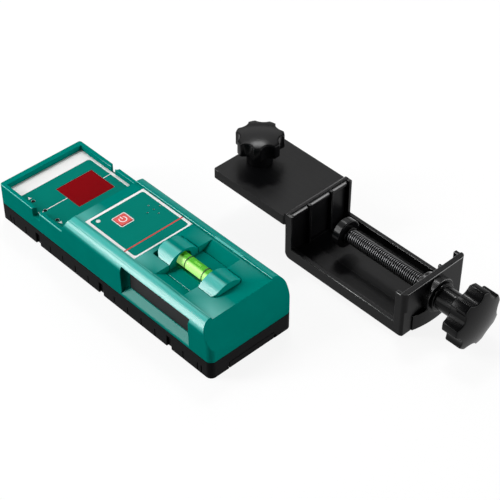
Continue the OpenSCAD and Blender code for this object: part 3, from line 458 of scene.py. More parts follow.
def markCoatAndPaintedLight(name, mesh, rule):
    # rounded and crowned faces that tilt towards the light get coat and painted highlight, right-facing and low
    # faces less; upright sides and inner flats keep their grain
    coatWearAndPaintedLight = mesh.attributes.new("coatWearAndPaintedLight", "FLOAT", "CORNER")
    flatTop = mesh.attributes.new("flatTop", "FLOAT", "CORNER")
    beyond = coatAndPaintedLightRule["beyond"].get(name, 0.0) * mm
    for loop, mark, top, normal in zip(mesh.loops, coatWearAndPaintedLight.data, flatTop.data, mesh.corner_normals):
        place, (x, y, z) = mesh.vertices[loop.vertex_index].co, normal.vector
        tilt = math.degrees(math.acos(max(-1.0, min(1.0, z))))
        across = max(0.0, 1 - rule["across"] * abs(y)) * (rule["right"] if x > coatAndPaintedLightRule["facingRight"] else 1.0)
        litTiltShare = ramp(tilt, *rule["rise"]) * (1 - ramp(tilt, *rule["fall"]))
        if place.z < rule.get("sill", 0) * mm:
            litTiltShare *= rule["onSill"]
        mark.value = across * litTiltShare if abs(place.x) >= beyond else 0.0
        top.value = 1.0 if tilt < coatAndPaintedLightRule["flatTilt"] and place.z > coatAndPaintedLightRule["flatLow"] * mm else 0.0


def addPiece(name, mesh, finishName, body, replaced=()):
    if "polished" in finishes[finishName]:
        markCoatAndPaintedLight(name, mesh, finishes[finishName]["polished"])
    mesh.materials.clear()
    mesh.materials.append(finish[finishName])
    piece = inScene(name, mesh)
    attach(piece, body)
    if replaced:
        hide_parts(*replaced)


def evaluatedMesh(holder):
    graph = bpy.context.evaluated_depsgraph_get()
    return bpy.data.meshes.new_from_object(holder.evaluated_get(graph), depsgraph=graph)


# Rounding of edges: lengths in millimetres, angles in degrees
softening = {
    "weld": 0.002, "flat": 0.5, "sharp": 28, "probe": 0.15, "facing": 0.2, "fence": 0.05, "skip": 1.2,
    "along": (0.15, 0.5, 0.85), "spare": 2.2, "tries": 6, "reach": 0.8, "overlap": 0.005,
}
sixWays = [Vector(axis) for axis in ((1, 0, 0), (-1, 0, 0), (0, 1, 0), (0, -1, 0), (0, 0, 1), (0, 0, -1))]


def facesOutside(tree, middle, normal):
    start = middle + normal * softening["probe"] * mm
    return any(ray.dot(normal) > softening["facing"] and tree.ray_cast(start, ray)[0] is None
               for ray in [normal] + sixWays)


def weldedForm(node):
    mesh = nodes[node].data.copy()
    if "custom_normal" in mesh.attributes:
        mesh.attributes.remove(mesh.attributes["custom_normal"])
    form = bmesh.new()
    form.from_mesh(mesh)
    bmesh.ops.remove_doubles(form, verts=form.verts, dist=softening["weld"] * mm)
    bmesh.ops.dissolve_limit(form, angle_limit=math.radians(softening["flat"]), verts=form.verts, edges=form.edges)
    return mesh, form


def fenceOn(edges):
    # thin strips standing on the sharp edges, to measure how wide the faces between them are
    corners, strips = [], []
    for side in edges:
        a, b = (vert.co for vert in side.verts)
        for face in side.link_faces:
            rise = face.normal * softening["fence"] * mm
            strips.append([len(corners) + i for i in range(4)])
            corners += [a - rise, b - rise, b + rise, a + rise]
    return BVHTree.FromPolygons(corners, strips)


def roomBeside(side, fence):
    space = 1.0  # in metres, wider than any face
    skip = softening["skip"] * softening["fence"] * mm
    for loop in side.link_loops:
        a, b = loop.vert.co, loop.link_loop_next.vert.co
        inward = loop.face.normal.cross(b - a).normalized()
        for share in softening["along"]:
            distance = fence.ray_cast(a.lerp(b, share) + inward * skip, inward)[3]
            if distance is not None:
                space = min(space, distance + skip)
    return space


def crossings(mesh):
    # places where the rounding has made a face's border cross itself
    mesh.calc_loop_triangles()
    filled = [0.0] * len(mesh.polygons)
    for triangle in mesh.loop_triangles:
        filled[triangle.polygon_index] += triangle.area
    places = []
    for face in mesh.polygons:
        count = len(face.vertices)
        if count < 5 or abs(filled[face.index] - face.area) < 1e-8 + softening["overlap"] * face.area:
            continue
        across = face.normal.orthogonal().normalized()
        up = face.normal.cross(across)
        border = [mesh.vertices[i].co.copy() for i in face.vertices]
        flat = [Vector((point.dot(across), point.dot(up))) / mm for point in border]
        for i in range(count):
            for j in range(i + 2, count - (i == 0)):
                ends = (flat[i], flat[(i + 1) % count], flat[j], flat[(j + 1) % count])
                meet = geometry.intersect_line_line_2d(*ends)
                if meet is not None:
                    share = (meet - ends[0]).length / max((ends[1] - ends[0]).length, 1e-9)
                    places.append(border[i].lerp(border[(i + 1) % count], share))
    return places


def leaveSharp(form, weight, places):
    for side in form.edges:
        if side[weight] == 0:
            continue
        a, b = (vert.co for vert in side.verts)
        for place in places:
            share = min(max(geometry.intersect_point_line(place, a, b)[1], 0.0), 1.0)
            if (a.lerp(b, share) - place).length < softening["reach"] * mm:
                side[weight] = 0.0
                break


# Edges that are rounded more: how many times, and the box in millimetres that they lie in
bolder = {
    "frontShell": [(2.2, (-28, 31, 22), (-27.3, 55, 24)), (2.2, (27.3, 31, 22), (28, 55, 24)),
                   (1.3, (-28, 56, 23), (28, 84.5, 24)),
                   (2.0, (-28, -70, 11.8), (-27, -10, 12.8)), (2.0, (27, -70, 11.8), (28, -10, 12.8))],
    "clampFrame": [(2.6, (61.5, -46.5, 27.7), (61.9, -41, 30)),
                   (2.2, (61, -127.8, 28), (107.5, -127.4, 28.4))],
}


def boldness(name, place):
    for times, low, high in bolder.get(name, []):
        if all(a <= value / mm <= b for a, value, b in zip(low, place, high)):
            return times
    return 1.0


def dressNode(name, node, finishName, slotName, body, edge, steps):
    # a welded copy of a node with its outer edges rounded
    mesh, form = weldedForm(node)
    weight = form.edges.layers.float.new("bevel_weight_edge")
    boldest = max([rule[0] for rule in bolder.get(name, [])], default=1.0)
    tree = BVHTree.FromBMesh(form)
    sharp = [side for side in form.edges
             if len(side.link_faces) == 2 and side.calc_face_angle() > math.radians(softening["sharp"])]
    fence = fenceOn(sharp)
    for side in sharp:
        normal = (side.link_faces[0].normal + side.link_faces[1].normal).normalized()
        middle = (side.verts[0].co + side.verts[1].co) / 2
        if not side.is_convex or not facesOutside(tree, middle, normal):
            continue
        space = roomBeside(side, fence) / (softening["spare"] * edge * mm)
        if space > 1:
            side[weight] = min(boldness(name, middle), space) / boldest
    holder = inScene(name + "Holder", mesh)
    bevel = holder.modifiers.new("softEdges", "BEVEL")
    bevel.limit_method = "WEIGHT"
    bevel.width = edge * boldest * mm
    bevel.segments = steps
    bevel.use_clamp_overlap = False
    even = holder.modifiers.new("evenNormals", "WEIGHTED_NORMAL")
    even.keep_sharp = True
    for attempt in range(softening["tries"]):
        form.to_mesh(mesh)
        shadeSoft(mesh)
        mesh.update()
        finished = evaluatedMesh(holder)
        places = crossings(finished)
        if not places:
            break
        leaveSharp(form, weight, places)
    print(" ", name, "rounded in", attempt + 1, "tries,", len(places), "crossings left")
    form.free()
    bpy.data.objects.remove(holder)
    addPiece(name, finished, finishName, body, (node,))


# each piece's node, finish, slot, body, edge width in millimetres and steps round the edge
dressed = {
    "frontShell": ("front_housing", "tealShell", "green_plastic", "receiver", 0.3, 3),
    "rearShell": ("rear_housing", "blackBase", "black_plastic", "receiver", 0.3, 2),
    "bracketInsert": ("bracket_insert", "turnedBrass", "brass", "receiver", 0.3, 2),
    "caseScrews": ("case_screws", "blackSteel", "black_steel", "receiver", 0.25, 2),
    "sensorWindow": ("sensor_window", "redFilter", "window_red", "receiver", 0.12, 2),
    "deckLabel": ("sensor_label", "labelWhite", "label", "receiver", 0.06, 1),
    "keypadLabel": ("keypad_label", "labelWhite", "label", "receiver", 0.06, 1),
    "directionLights": ("direction_leds", "lensDark", "led_lens", "receiver", 0.3, 3),
    "powerLamp": ("power_led", "lampPale", "lamp_white", "receiver", 0.25, 2),
    "powerButton": ("power_button", "buttonRed", "button_red", "power_button", 0.2, 3),
    "vialCarrier": ("vial_carrier", "tealShell", "green_plastic", "receiver", 0.25, 3),
    "gripInlayLeft": ("grip_inlay_left", "gripRubber", "seal_rubber", "receiver", 0.4, 3),
    "gripInlayRight": ("grip_inlay_right", "gripRubber", "seal_rubber", "receiver", 0.4, 3),
    "batteryDoor": ("battery_door", "blackBase", "black_plastic", "battery_door", 0.25, 2),
    "cells": ("batteries", "cellWrap", "cell", "receiver", 0.4, 3),
    "clampFrame": ("clamp_frame", "clampBlack", "clamp_black", "clamp", 0.35, 3),
    "threadBush": ("thread_bush", "turnedBrass", "brass", "clamp", 0.25, 2),
    "pressurePad": ("pressure_pad", "knobBlack", "clamp_black", "pressure_pad", 0.5, 3),
    "padWasher": ("pad_washer", "platedSteel", "steel", "clamp_screw", 0.15, 2),
    "studClip": ("stud_clip", "platedSteel", "steel", "mount_knob", 0.15, 2),
}
for pieceName, pieceSpec in dressed.items():
    dressNode(pieceName, *pieceSpec)
print("nodes dressed:", len(dressed))


# Turned and wound pieces
def filleted(corners, steps=5):
    # a profile of (radius, height, fillet) corners with the fillets filled in
    points = [Vector(corner[:2]) for corner in corners]
    profile = []
    for i, (r, z, fillet) in enumerate(corners):
        here = points[i]
        if fillet == 0 or i in (0, len(corners) - 1):
            profile.append((r, z))
            continue
        back, ahead = (points[i - 1] - here).normalized(), (points[i + 1] - here).normalized()
        half = back.angle(ahead) / 2
        center = here + (back + ahead).normalized() * fillet / math.sin(half)
        reach = fillet / math.tan(half)
        start, end = here + back * reach - center, here + ahead * reach - center
        for j in range(steps + 1):
            share = j / steps
            spoke = (start * (1 - share) + end * share).normalized() * fillet
            profile.append(tuple(center + spoke))
    return profile


def turned(name, profile, around, shares=None, closed=False):
    # a lathe mesh about Z; shares gives named values for each profile point
    form = bmesh.new()
    shares = shares or {}
    layers = {label: form.verts.layers.float.new(label) for label in shares}
    rings = []
    for i, (r, z) in enumerate(profile):
        turns = [2 * math.pi * k / around for k in range(around)] if r > 0 else [0]
        ring = [form.verts.new((r * math.cos(turn) * mm, r * math.sin(turn) * mm, z * mm)) for turn in turns]
        for label, layer in layers.items():
            for vert in ring:
                vert[layer] = shares[label][i]
        rings.append(ring)
    for low, high in zip(rings, rings[1:] + (rings[:1] if closed else [])):
        for k in range(around):
            after = (k + 1) % around
            corners = (low[k % len(low)], low[after % len(low)], high[after % len(high)], high[k % len(high)])
            form.faces.new(list(dict.fromkeys(corners)))
    bmesh.ops.recalc_face_normals(form, faces=form.faces)
    return meshOf(name, form)


class nodeTree:
    # a Geometry Nodes tree with named inputs that ends in Realize Instances and Set Material
    def __init__(self, name, inputs):
        self.tree = bpy.data.node_groups.new(name, "GeometryNodeTree")
        newSocket(self.tree, "Geometry", "Geometry")
        self.ids = {}
        for label, kind in inputs + [("Place", "Vector"), ("Tilt", "Vector"), ("Finish", "Material")]:
            self.ids[label] = newSocket(self.tree, label, kind).identifier
        newSocket(self.tree, "Geometry", "Geometry", "OUTPUT")
        self.source = self.add("NodeGroupInput")

    def add(self, kind, values=None, **settings):
        return addNode(self.tree, kind, values, **settings)

    def math(self, operation, *values):
        return mathOn(self.tree, operation, *values)

    def vector(self, **parts):
        return self.add("ShaderNodeCombineXYZ", parts)[0]

    def share(self, label):
        return self.add("GeometryNodeInputNamedAttribute", {"Name": label}, data_type="FLOAT")["Attribute"]

    def close(self, shape):
        placed = self.add("GeometryNodeTransform", {
            "Geometry": shape, "Translation": self.source["Place"], "Rotation": self.source["Tilt"]})[0]
        real = self.add("GeometryNodeRealizeInstances", {"Geometry": placed})[0]
        done = self.add("GeometryNodeSetMaterial", {"Geometry": real, "Material": self.source["Finish"]})[0]
        sink = self.tree.nodes.new("NodeGroupOutput")
        self.tree.links.new(done, sink.inputs[0])

    def run(self, name, mesh, finishName, values, smooth=softAngle):
        holder = inScene(name + "Holder", mesh)
        modifier = holder.modifiers.new(name, "NODES")
        modifier.node_group = self.tree
        for label, value in {"Finish": finish[finishName], **values}.items():
            modifier[self.ids[label]] = value
        made = evaluatedMesh(holder)
        bpy.data.objects.remove(holder)
        faceOutward(made)
        shadeSoft(made, smooth)
        return made


# steps in each turn of a winding and round a wire
roundness = {"thread": 28, "coil": 36, "wire": 12}


def buildStarTree():
    # bends a turned blank into a knob with round scallops between its lobes
    star = nodeTree("scallopedKnob", [
        ("Radius", "Float"), ("Lobes", "Int"), ("Scallop Out", "Float"), ("Scallop Radius", "Float"),
        ("Softness", "Float"), ("Turn", "Float"), ("Dome", "Float")])
    inp = star.source
    position = star.add("GeometryNodeInputPosition")[0]
    split = star.add("ShaderNodeSeparateXYZ", {"Vector": position})
    around = star.math("SUBTRACT", star.math("ARCTAN2", split["Y"], split["X"]), inp["Turn"])
    off = star.math("PINGPONG", around, star.math("DIVIDE", math.pi, inp["Lobes"]))
    out = star.math("MULTIPLY", inp["Scallop Out"], star.math("COSINE", off))
    side = star.math("MULTIPLY", inp["Scallop Out"], star.math("SINE", off))
    bite = star.math("SUBTRACT", star.math("POWER", inp["Scallop Radius"], 2.0), star.math("POWER", side, 2.0))
    cut = star.math("SUBTRACT", out, star.math("SQRT", star.math("MAXIMUM", bite, 0.0)))
    rim = star.math("SMOOTH_MIN", inp["Radius"], cut, inp["Softness"])
    flat = star.vector(X=split["X"], Y=split["Y"])
    radial = star.add("ShaderNodeVectorMath", {0: flat}, operation="LENGTH")["Value"]
    inset = star.math("MULTIPLY", star.share("lobeShare"), star.math("SUBTRACT", inp["Radius"], rim))
    reach = star.math("SUBTRACT", radial, inset)
    ratio = star.math("DIVIDE", reach, star.math("MAXIMUM", radial, 1e-9))
    fall = star.math("SUBTRACT", star.math("POWER", star.math("DIVIDE", radial, inp["Radius"]), 2.0),
                     star.math("POWER", star.math("DIVIDE", reach, inp["Radius"]), 2.0))
    lift = star.math("MULTIPLY", star.math("MULTIPLY", star.share("domeShare"), inp["Dome"]), fall)
    moved = star.vector(
        X=star.math("MULTIPLY", split["X"], ratio), Y=star.math("MULTIPLY", split["Y"], ratio),
        Z=star.math("ADD", split["Z"], lift))
    star.close(star.add("GeometryNodeSetPosition", {"Geometry": inp["Geometry"], "Position": moved})[0])
    return star


def buildThreadTree():
    # winds a thread's ridge round a turned core
    thread = nodeTree("woundThread", [
        ("Root", "Float"), ("Depth", "Float"), ("Root Width", "Float"), ("Crest Width", "Float"),
        ("Turns", "Float"), ("Length", "Float"), ("Start", "Float")])
    inp = thread.source
    spiral = thread.add("GeometryNodeCurveSpiral", {
        "Resolution": roundness["thread"], "Rotations": inp["Turns"], "Start Radius": inp["Root"],
        "End Radius": inp["Root"], "Height": inp["Length"], "Reverse": True})[0]
    standing = thread.add("GeometryNodeSetCurveNormal", {"Curve": spiral}, mode="Z_UP")[0]
    ridge = thread.add("GeometryNodeCurvePrimitiveQuadrilateral", {
        "Height": inp["Depth"], "Bottom Width": inp["Root Width"], "Top Width": inp["Crest Width"], "Offset": 0.0,
    }, mode="TRAPEZOID")[0]
    half = thread.math("MULTIPLY", inp["Depth"], 0.5)
    outward = thread.add("GeometryNodeTransform", {
        "Geometry": ridge, "Rotation": (0, 0, -math.pi / 2), "Translation": thread.vector(X=half)})[0]
    wound = thread.add("GeometryNodeCurveToMesh", {
        "Curve": standing, "Profile Curve": outward, "Fill Caps": True})[0]
    raised = thread.add("GeometryNodeTransform", {
        "Geometry": wound, "Translation": thread.vector(Z=inp["Start"])})[0]
    joined = thread.add("GeometryNodeJoinGeometry")
    for part in (raised, inp["Geometry"]):
        thread.tree.links.new(part, joined[0].node.inputs[0])
    thread.close(joined[0])
    return thread


def buildCoilTree():
    # one conical coil on each point, turned by the point's own angle
    coil = nodeTree("woundSpring", [
        ("Foot", "Float"), ("Tip", "Float"), ("Length", "Float"), ("Turns", "Float"), ("Wire", "Float")])
    inp = coil.source
    spiral = coil.add("GeometryNodeCurveSpiral", {
        "Resolution": roundness["coil"], "Rotations": inp["Turns"], "Start Radius": inp["Foot"],
        "End Radius": inp["Tip"], "Height": inp["Length"], "Reverse": True})[0]
    wire = coil.add("GeometryNodeCurvePrimitiveCircle", {
        "Resolution": roundness["wire"], "Radius": inp["Wire"]})[0]
    wound = coil.add("GeometryNodeCurveToMesh", {"Curve": spiral, "Profile Curve": wire, "Fill Caps": True})[0]
    coil.close(coil.add("GeometryNodeInstanceOnPoints", {
        "Points": inp["Geometry"], "Instance": wound, "Rotation": coil.vector(X=coil.share("lean"))})[0])
    return coil


starTree = buildStarTree()
threadTree = buildThreadTree()
coilTree = buildCoilTree()
upright, alongScrew = (0, 0, 0), (math.pi / 2, 0, 0)

mountKnob = {
    "r": 13.25, "lobeLow": 8.7, "lobeHigh": 17.0, "dome": 1.7, "boreR": 3.175, "boreDepth": 7.8, "turn": -11,
    "edge": 0.7, "under": 0.6, "throat": 0.8, "foot": [(7.2, 0, 0.4)], "neckR": 7.2,
    "place": (84.2, -0.6, 27.8), "tilt": upright,
}
clampKnob = {
    "r": 16.5, "lobeLow": 14.8, "lobeHigh": 24.4, "dome": 2.4, "boreR": 3.19, "boreDepth": 15.45, "turn": -3,
    "edge": 0.9, "under": 0.8, "throat": 0.8, "foot": [(8.0, 0, 0.4), (8.0, 1.6, 0.4), (6.6, 1.6, 0.3)],
    "neckR": 6.6, "place": (84.2, -131.75, 17.3), "tilt": alongScrew,
}
starRule = {"lobes": 7, "out": 1.2, "scallop": 0.38, "soft": 0.09, "core": 0.62, "around": 252, "domeSteps": 14,
            "smooth": 40}


def makeStarKnob(name, spec, body, node):
    r, dome = spec["r"], spec["dome"]
    crownR = (r * r + dome * dome) / (2 * dome)
    top = spec["lobeHigh"] + dome
    crown = []
    for i in range(1, starRule["domeSteps"]):
        share = 1 - i / starRule["domeSteps"]
        radius = (r - spec["edge"]) * share
        crown.append((radius, top - crownR + math.sqrt(crownR ** 2 - radius ** 2)))
    profile = filleted([
        (0, spec["boreDepth"], 0), (spec["boreR"], spec["boreDepth"], 0), (spec["boreR"], 0, 0), *spec["foot"],
        (spec["neckR"], spec["lobeLow"], spec["throat"]), (r, spec["lobeLow"], spec["under"]),
        (r, spec["lobeHigh"], spec["edge"]), (*crown[0], 0),
    ]) + crown[1:] + [(0, top)]
    core = starRule["core"] * r
    lobe = [max(0.0, (radius - core) / (r - core)) for radius, height in profile]
    middle = (spec["lobeLow"] + spec["lobeHigh"]) / 2
    crowned = [1.0 if height > middle else 0.0 for radius, height in profile]
    blank = turned(name + "Blank", profile, starRule["around"], {"lobeShare": lobe, "domeShare": crowned})
    mesh = starTree.run(name, blank, "knobBlack", {
        "Radius": r * mm, "Lobes": starRule["lobes"], "Scallop Out": starRule["out"] * r * mm,
        "Scallop Radius": starRule["scallop"] * r * mm, "Softness": starRule["soft"] * r * mm,
        "Turn": math.radians(spec["turn"]), "Dome": dome * mm, "Place": Vector(spec["place"]) * mm,
        "Tilt": spec["tilt"]}, starRule["smooth"])
    addPiece(name, mesh, "knobBlack", body, (node,))


makeStarKnob("mountKnob", mountKnob, "mount_knob", "mount_knob")
makeStarKnob("clampKnob", clampKnob, "clamp_screw", "clamp_knob")

clampScrew = {
    "profile": [(0, -3.9, 0), (1.85, -3.9, 0.3), (1.85, -2.7, 0), (3.19, -2.7, 0.2), (3.19, 0, 0), (4.6, 0, 0.25),
                (4.6, 1.4, 0.25), (3.19, 1.4, 0), (3.19, 79.05, 0.4), (0, 79.05, 0)],
    "threadLow": 2.0, "threadHigh": 62.4, "pitch": 1.25, "root": 3.15, "crest": 3.95,
    "place": (84.2, -68.15, 17.3), "tilt": alongScrew, "axis": (0, 1, 0),
}
mountStud = {
    "profile": [(0, 0, 0), (2.1, 0, 0), (2.415, 0.35, 0), (2.415, 6.6, 0), (3.175, 6.85, 0), (3.175, 7.15, 0),
                (2.575, 7.15, 0), (2.575, 8.05, 0), (3.175, 8.05, 0), (3.175, 20.5, 0), (0, 20.5, 0)],
    "threadLow": 0.75, "threadHigh": 6.3, "pitch": 1.27, "root": 2.38, "crest": 3.175,
    "place": (84.2, -0.6, 15.1), "tilt": upright, "axis": (0, 0, 1),
}
threadRule = {"rootWidth": 1.0, "crestWidth": 0.35, "around": 56, "wearAndHighlightFrom": 0.4, "slack": 0.1}


def makeThreaded(name, spec, finishName, body, node):
    core = turned(name + "Core", filleted(spec["profile"]), threadRule["around"])
    length = spec["threadHigh"] - spec["threadLow"]
    mesh = threadTree.run(name, core, finishName, {
        "Root": spec["root"] * mm, "Depth": (spec["crest"] - spec["root"]) * mm,
        "Root Width": threadRule["rootWidth"] * mm, "Crest Width": threadRule["crestWidth"] * mm,
        "Turns": length / spec["pitch"], "Length": length * mm, "Start": spec["threadLow"] * mm,
        "Place": Vector(spec["place"]) * mm, "Tilt": spec["tilt"]})
    # the crests are painted lighter, as wear and as painted highlight
    crestWearAndHighlight = mesh.attributes.new("coatWearAndPaintedLight", "FLOAT", "POINT")
    axis, crest = Vector(spec["axis"]), spec["crest"]
    for vertex, mark in zip(mesh.vertices, crestWearAndHighlight.data):
        out = vertex.co / mm - Vector(spec["place"])
        high = (out - axis * out.dot(axis)).length
        onThread = high < crest + threadRule["slack"]
        mark.value = ramp(high, spec["root"] + threadRule["wearAndHighlightFrom"], crest) if onThread else 0.0
    addPiece(name, mesh, finishName, body, (node,))


makeThreaded("clampScrew", clampScrew, "blackSteel", "clamp_screw", "clamp_screw")
makeThreaded("mountStud", mountStud, "platedSteel", "mount_knob", "mount_stud")

batterySprings = {"foot": 3.85, "tip": 2.0, "length": 4.9, "turns": 4.0, "wire": 0.3, "smooth": 50}


def makeSprings(spec):
    x0, x1, y0, y1 = planOf("battery_springs")
    z1 = topOf("battery_springs")
    out = spec["foot"] + spec["wire"]
    points = bpy.data.meshes.new("springPoints")
    points.from_pydata([((x0 + out) * mm, (y0 + spec["wire"]) * mm, (z1 - out) * mm),
                        ((x1 - out) * mm, (y1 - spec["wire"]) * mm, (z1 - out) * mm)], [], [])
    lean = points.attributes.new("lean", "FLOAT", "POINT")
    lean.data[0].value, lean.data[1].value = -math.pi / 2, math.pi / 2
    mesh = coilTree.run("batterySprings", points, "platedSteel", {
        "Foot": spec["foot"] * mm, "Tip": spec["tip"] * mm, "Length": spec["length"] * mm,
        "Turns": spec["turns"], "Wire": spec["wire"] * mm}, spec["smooth"])
    addPiece("batterySprings", mesh, "platedSteel", "receiver", ("battery_springs",))


makeSprings(batterySprings)

# Bubble vial, lying along Y
vial = {
    "axisZ": 30.4, "middleY": -44.9, "length": 30.0, "r": 3.7, "wall": 0.9, "plug": 1.2, "endR": 0.5, "around": 96,
    "fill": 3.55, "paleFrom": 1.2, "paleFull": 2.4, "bubbleR": 1.65, "bubbleL": 7.0, "bubbleTop": 3.65,
    "bubbleSteps": 20, "bubbleAround": 48, "ringR": 3.85, "ringW": 0.4, "ringSink": 0.05, "ringSpread": 6.2,
    "smooth": 40,
}


def layAlongY(mesh, y, z):
    mesh.transform(Matrix.Translation((0, y * mm, z * mm)) @ Matrix.Rotation(-math.pi / 2, 4, "X"))
    shadeSoft(mesh, vial["smooth"])
    return mesh


def makeVial(spec):
    half, r, bore = spec["length"] / 2, spec["r"], spec["r"] - spec["wall"]
    low, high = spec["plug"] - half, half - spec["plug"]
    place = spec["middleY"], spec["axisZ"]
    outside = filleted([(0, -half, 0), (r, -half, spec["endR"]), (r, half, spec["endR"]), (0, half, 0)])
    inside = [(0, high), (bore, high), (bore, low), (0, low)]
    tube = turned("vialTube", outside, spec["around"])
    hollow = turned("vialHollow", inside, spec["around"])
    form = bmesh.new()
    form.from_mesh(hollow)
    bmesh.ops.reverse_faces(form, faces=form.faces)
    form.from_mesh(tube)
    form.to_mesh(tube)
    form.free()
    addPiece("vialTube", layAlongY(tube, *place), "vialClear", "receiver", ("vial_tube",))
    # the tube magnifies the liquid, so it is drawn nearly as wide as the tube
    fill = spec["fill"]
    liquid = turned("vialLiquid", [(0, low), (fill, low), (fill, high), (0, high)], spec["around"])
    layAlongY(liquid, *place)
    # painted light: the left half of the liquid is painted paler and made to glow, where light gathers
    pale = liquid.attributes.new("coatWearAndPaintedLight", "FLOAT", "POINT")
    for vertex, mark in zip(liquid.vertices, pale.data):
        mark.value = ramp(-vertex.co.x / mm, spec["paleFrom"], spec["paleFull"])
    addPiece("vialLiquid", liquid, "vialLime", "receiver", ("vial_liquid",))
    bubbleR, straight, steps = spec["bubbleR"], spec["bubbleL"] / 2 - spec["bubbleR"], spec["bubbleSteps"]
    arc = [math.radians(-90 + 180 * i / steps) for i in range(steps + 1)]
    capsule = [(max(0.0, bubbleR * math.cos(turn)) if 0 < i < steps else 0,
                bubbleR * math.sin(turn) + (straight if turn > 0 else -straight)) for i, turn in enumerate(arc)]
    bubble = turned("vialBubble", capsule, spec["bubbleAround"])
    bubbleZ = spec["axisZ"] + spec["bubbleTop"] - bubbleR
    addPiece("vialBubble", layAlongY(bubble, spec["middleY"], bubbleZ), "bubblePale", "receiver")
    rings = bmesh.new()
    ringIn, ringOut, w = r - spec["ringSink"], spec["ringR"], spec["ringW"] / 2
    for side in (-1, 1):
        y = side * spec["ringSpread"]
        band = [(ringIn, y - w), (ringOut, y - w), (ringOut, y + w), (ringIn, y + w)]
        rings.from_mesh(turned("ringBand", band, spec["around"], closed=True))
    bands = layAlongY(meshOf("vialRings", rings), *place)
    addPiece("vialRings", bands, "ringInk", "receiver", ("vial_rings",))


makeVial(vial)
print("turned and wound pieces made")

# Inner nodes keep their solids and take a finish
inner = {
    "case_gasket": "sealRubber", "sensor_board": "boardGreen", "main_board": "boardGreen",
    "photodiodes": "lensDark", "switch_plunger": "blackBase", "tact_switch": "blackBase", "beeper": "blackBase",
    "board_ribbon": "ribbonGrey", "board_screws": "platedSteel", "battery_plates": "platedSteel",
}
for node, finishName in inner.items():
    nodes[node].material_slots[0].material = finish[finishName]
print("inner nodes finished:", len(inner))


# Printed sheets on the labels
def boxOutline(x0, x1, y0, y1, radii=(0, 0, 0, 0), steps=6):
    # corners in turn: near left, near right, far right, far left
    corners = ((x0, y0, 1, 1, 180), (x1, y0, -1, 1, 270), (x1, y1, -1, -1, 0), (x0, y1, 1, -1, 90))
    points = []
    for (x, y, sx, sy, start), r in zip(corners, radii):
        if r == 0:
            points.append((x, y))
            continue
        for i in range(steps + 1):
            angle = math.radians(start + 90 * i / steps)
            points.append((x + sx * r + r * math.cos(angle), y + sy * r + r * math.sin(angle)))
    return points


def roundOutline(x, y, r, steps=32):
    turns = [2 * math.pi * i / steps for i in range(steps)]
    return [(x + r * math.cos(turn), y + r * math.sin(turn)) for turn in turns]


def stripe(x0, x1, y, width):
    half = width / 2
    return boxOutline(x0, x1, y - half, y + half)


def square(x, y, side, cornerR):
    half = side / 2
    return boxOutline(x - half, x + half, y - half, y + half, (cornerR,) * 4)


ink = {"sink": 0.02, "rise": 0.02, "layer": 0.015, "weld": 0.001}


def printSheet(name, outlines, low, thick, finishName, body):
    curve = bpy.data.curves.new(name, "CURVE")
    curve.dimensions = "2D"
    curve.fill_mode = "BOTH"
    curve.extrude = thick / 2 * mm
    for outline in outlines:
        spline = curve.splines.new("POLY")
        spline.points.add(len(outline) - 1)
        for point, (x, y) in zip(spline.points, outline):
            point.co = (x * mm, y * mm, 0, 1)
        spline.use_cyclic_u = True
    holder = inScene(name + "Holder", curve)
    mesh = evaluatedMesh(holder)
    bpy.data.objects.remove(holder)
    mesh.transform(Matrix.Translation((0, 0, (low + thick / 2) * mm)))
    faceOutward(mesh, ink["weld"])
    addPiece(name, mesh, finishName, body)


def printField(name, outlines, top):
    printSheet(name, outlines, top - ink["sink"], ink["sink"] + ink["rise"], "labelTeal", "receiver")


def printMarks(name, outlines, top, finishName="labelWhite", body="receiver"):
    # a second coat of ink, half sunk into what it lies on
    printSheet(name, outlines, top - ink["layer"], 2 * ink["layer"], finishName, body)


deckPrint = {
    "inset": 0.05, "bandNear": 70.6, "stripeLeft": 23.0, "stripeNear": 38.0, "cornerR": 2.0,
    "lineW": 0.44, "lightRing": 1.15, "arrowL": 2.0, "arrowW": 1.9, "arrowFar": 66.4, "arrowNear": 39.0,
}
keypadPrint = {
    "sideBorder": 1.6, "nearBorder": 1.0, "farBorder": 1.6, "cornerR": 1.4, "lampRing": 1.32,
    "frameOut": 8.8, "frameOutR": 1.1, "frameIn": 7.9, "frameInR": 0.7,
    "holeR": 0.48, "holeArm": 4.1, "holeSteps": 16, "lineY": -11.4, "lineW": 0.8,
    "symbolR": 2.0, "symbolW": 0.5, "symbolGap": 38, "symbolSteps": 36,
    "barLow": 0.1, "barHigh": 2.5,
}


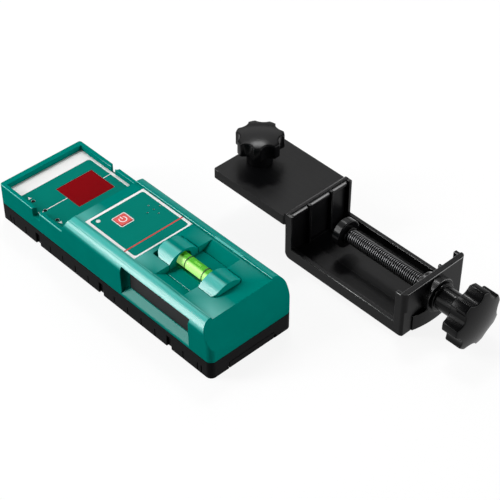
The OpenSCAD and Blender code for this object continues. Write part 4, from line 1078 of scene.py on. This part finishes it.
def printDeck(spec):
    x0, x1, y0 = planOf("sensor_label")[:3]
    top = topOf("sensor_label")
    windowLeft, windowRight, windowNear, windowFar = planOf("sensor_window")
    lightsLeft, lightsRight, lightsNear, lightsFar = planOf("direction_leds")
    lightX, lightY = centerOf("direction_leds")
    lightStep = (lightsFar - lightsNear - (lightsRight - lightsLeft)) / 2
    inset, ringR, left, near = spec["inset"], spec["lightRing"], spec["stripeLeft"], spec["stripeNear"]
    field = boxOutline(x0 + inset, left, y0 + inset, spec["bandNear"], (0, 0, spec["cornerR"], 0))
    # the stripe on the right stops short, so the field reaches the label's edge there
    field[1:2] = [(x1 - inset, y0 + inset), (x1 - inset, near), (left, near)]
    window = boxOutline(windowLeft - inset, windowRight + inset, windowNear - inset, windowFar + inset)
    holes = [roundOutline(lightX, lightY + i * lightStep, ringR) for i in (-1, 0, 1)]
    printField("deckField", [field, window, *holes], top)
    marks = [stripe(start, end, lightY, spec["lineW"]) for start, end in (
        (x0 + inset, lightX - ringR), (lightX + ringR, windowLeft - inset), (windowRight + inset, left))]
    width = spec["arrowW"] / 2
    for y, direction in ((spec["arrowFar"], 1), (spec["arrowNear"], -1)):
        base, tip = y - direction * spec["arrowL"] / 2, y + direction * spec["arrowL"] / 2
        marks.append([(lightX - width, base), (lightX + width, base), (lightX, tip)])
    printMarks("deckMarks", marks, top + ink["rise"])


def printKeypad(spec):
    x0, x1, y0, y1 = planOf("keypad_label")
    top, buttonTop = topOf("keypad_label"), topOf("power_button")
    buttonX, buttonY = centerOf("power_button")
    beeperX, beeperY = centerOf("beeper")
    field = boxOutline(x0 + spec["sideBorder"], x1 - spec["sideBorder"], y0 + spec["nearBorder"],
                       y1 - spec["farBorder"], (spec["cornerR"],) * 4)
    button = square(buttonX, buttonY, spec["frameIn"], spec["frameInR"])
    lamp = roundOutline(*centerOf("power_led"), spec["lampRing"])
    arm = spec["holeArm"]
    holes = [roundOutline(beeperX + i * arm, beeperY + j * arm, spec["holeR"], spec["holeSteps"])
             for i, j in ((0, 0), (1, 0), (-1, 0), (0, 1), (0, -1))]
    printField("keypadField", [field, button, lamp, *holes], top)
    rim = square(buttonX, buttonY, spec["frameOut"], spec["frameOutR"])
    printMarks("buttonFrame", [rim, button], top + ink["rise"])
    printMarks("keypadLine", [stripe(x0, x1, spec["lineY"], spec["lineW"])], top + ink["rise"], "labelRed")
    # common power symbol on the button
    r, w, gap, steps = spec["symbolR"], spec["symbolW"] / 2, spec["symbolGap"], spec["symbolSteps"]
    turns = [math.radians(90 + gap + (360 - 2 * gap) * i / steps) for i in range(steps + 1)]
    ring = [(buttonX + radius * math.cos(turn), buttonY + radius * math.sin(turn))
            for radius, way in ((r + w, turns), (r - w, turns[::-1])) for turn in way]
    bar = boxOutline(buttonX - w, buttonX + w, buttonY + spec["barLow"], buttonY + spec["barHigh"])
    printMarks("powerSymbol", [ring, bar], buttonTop, body="power_button")


printDeck(deckPrint)
printKeypad(keypadPrint)
print("labels printed")
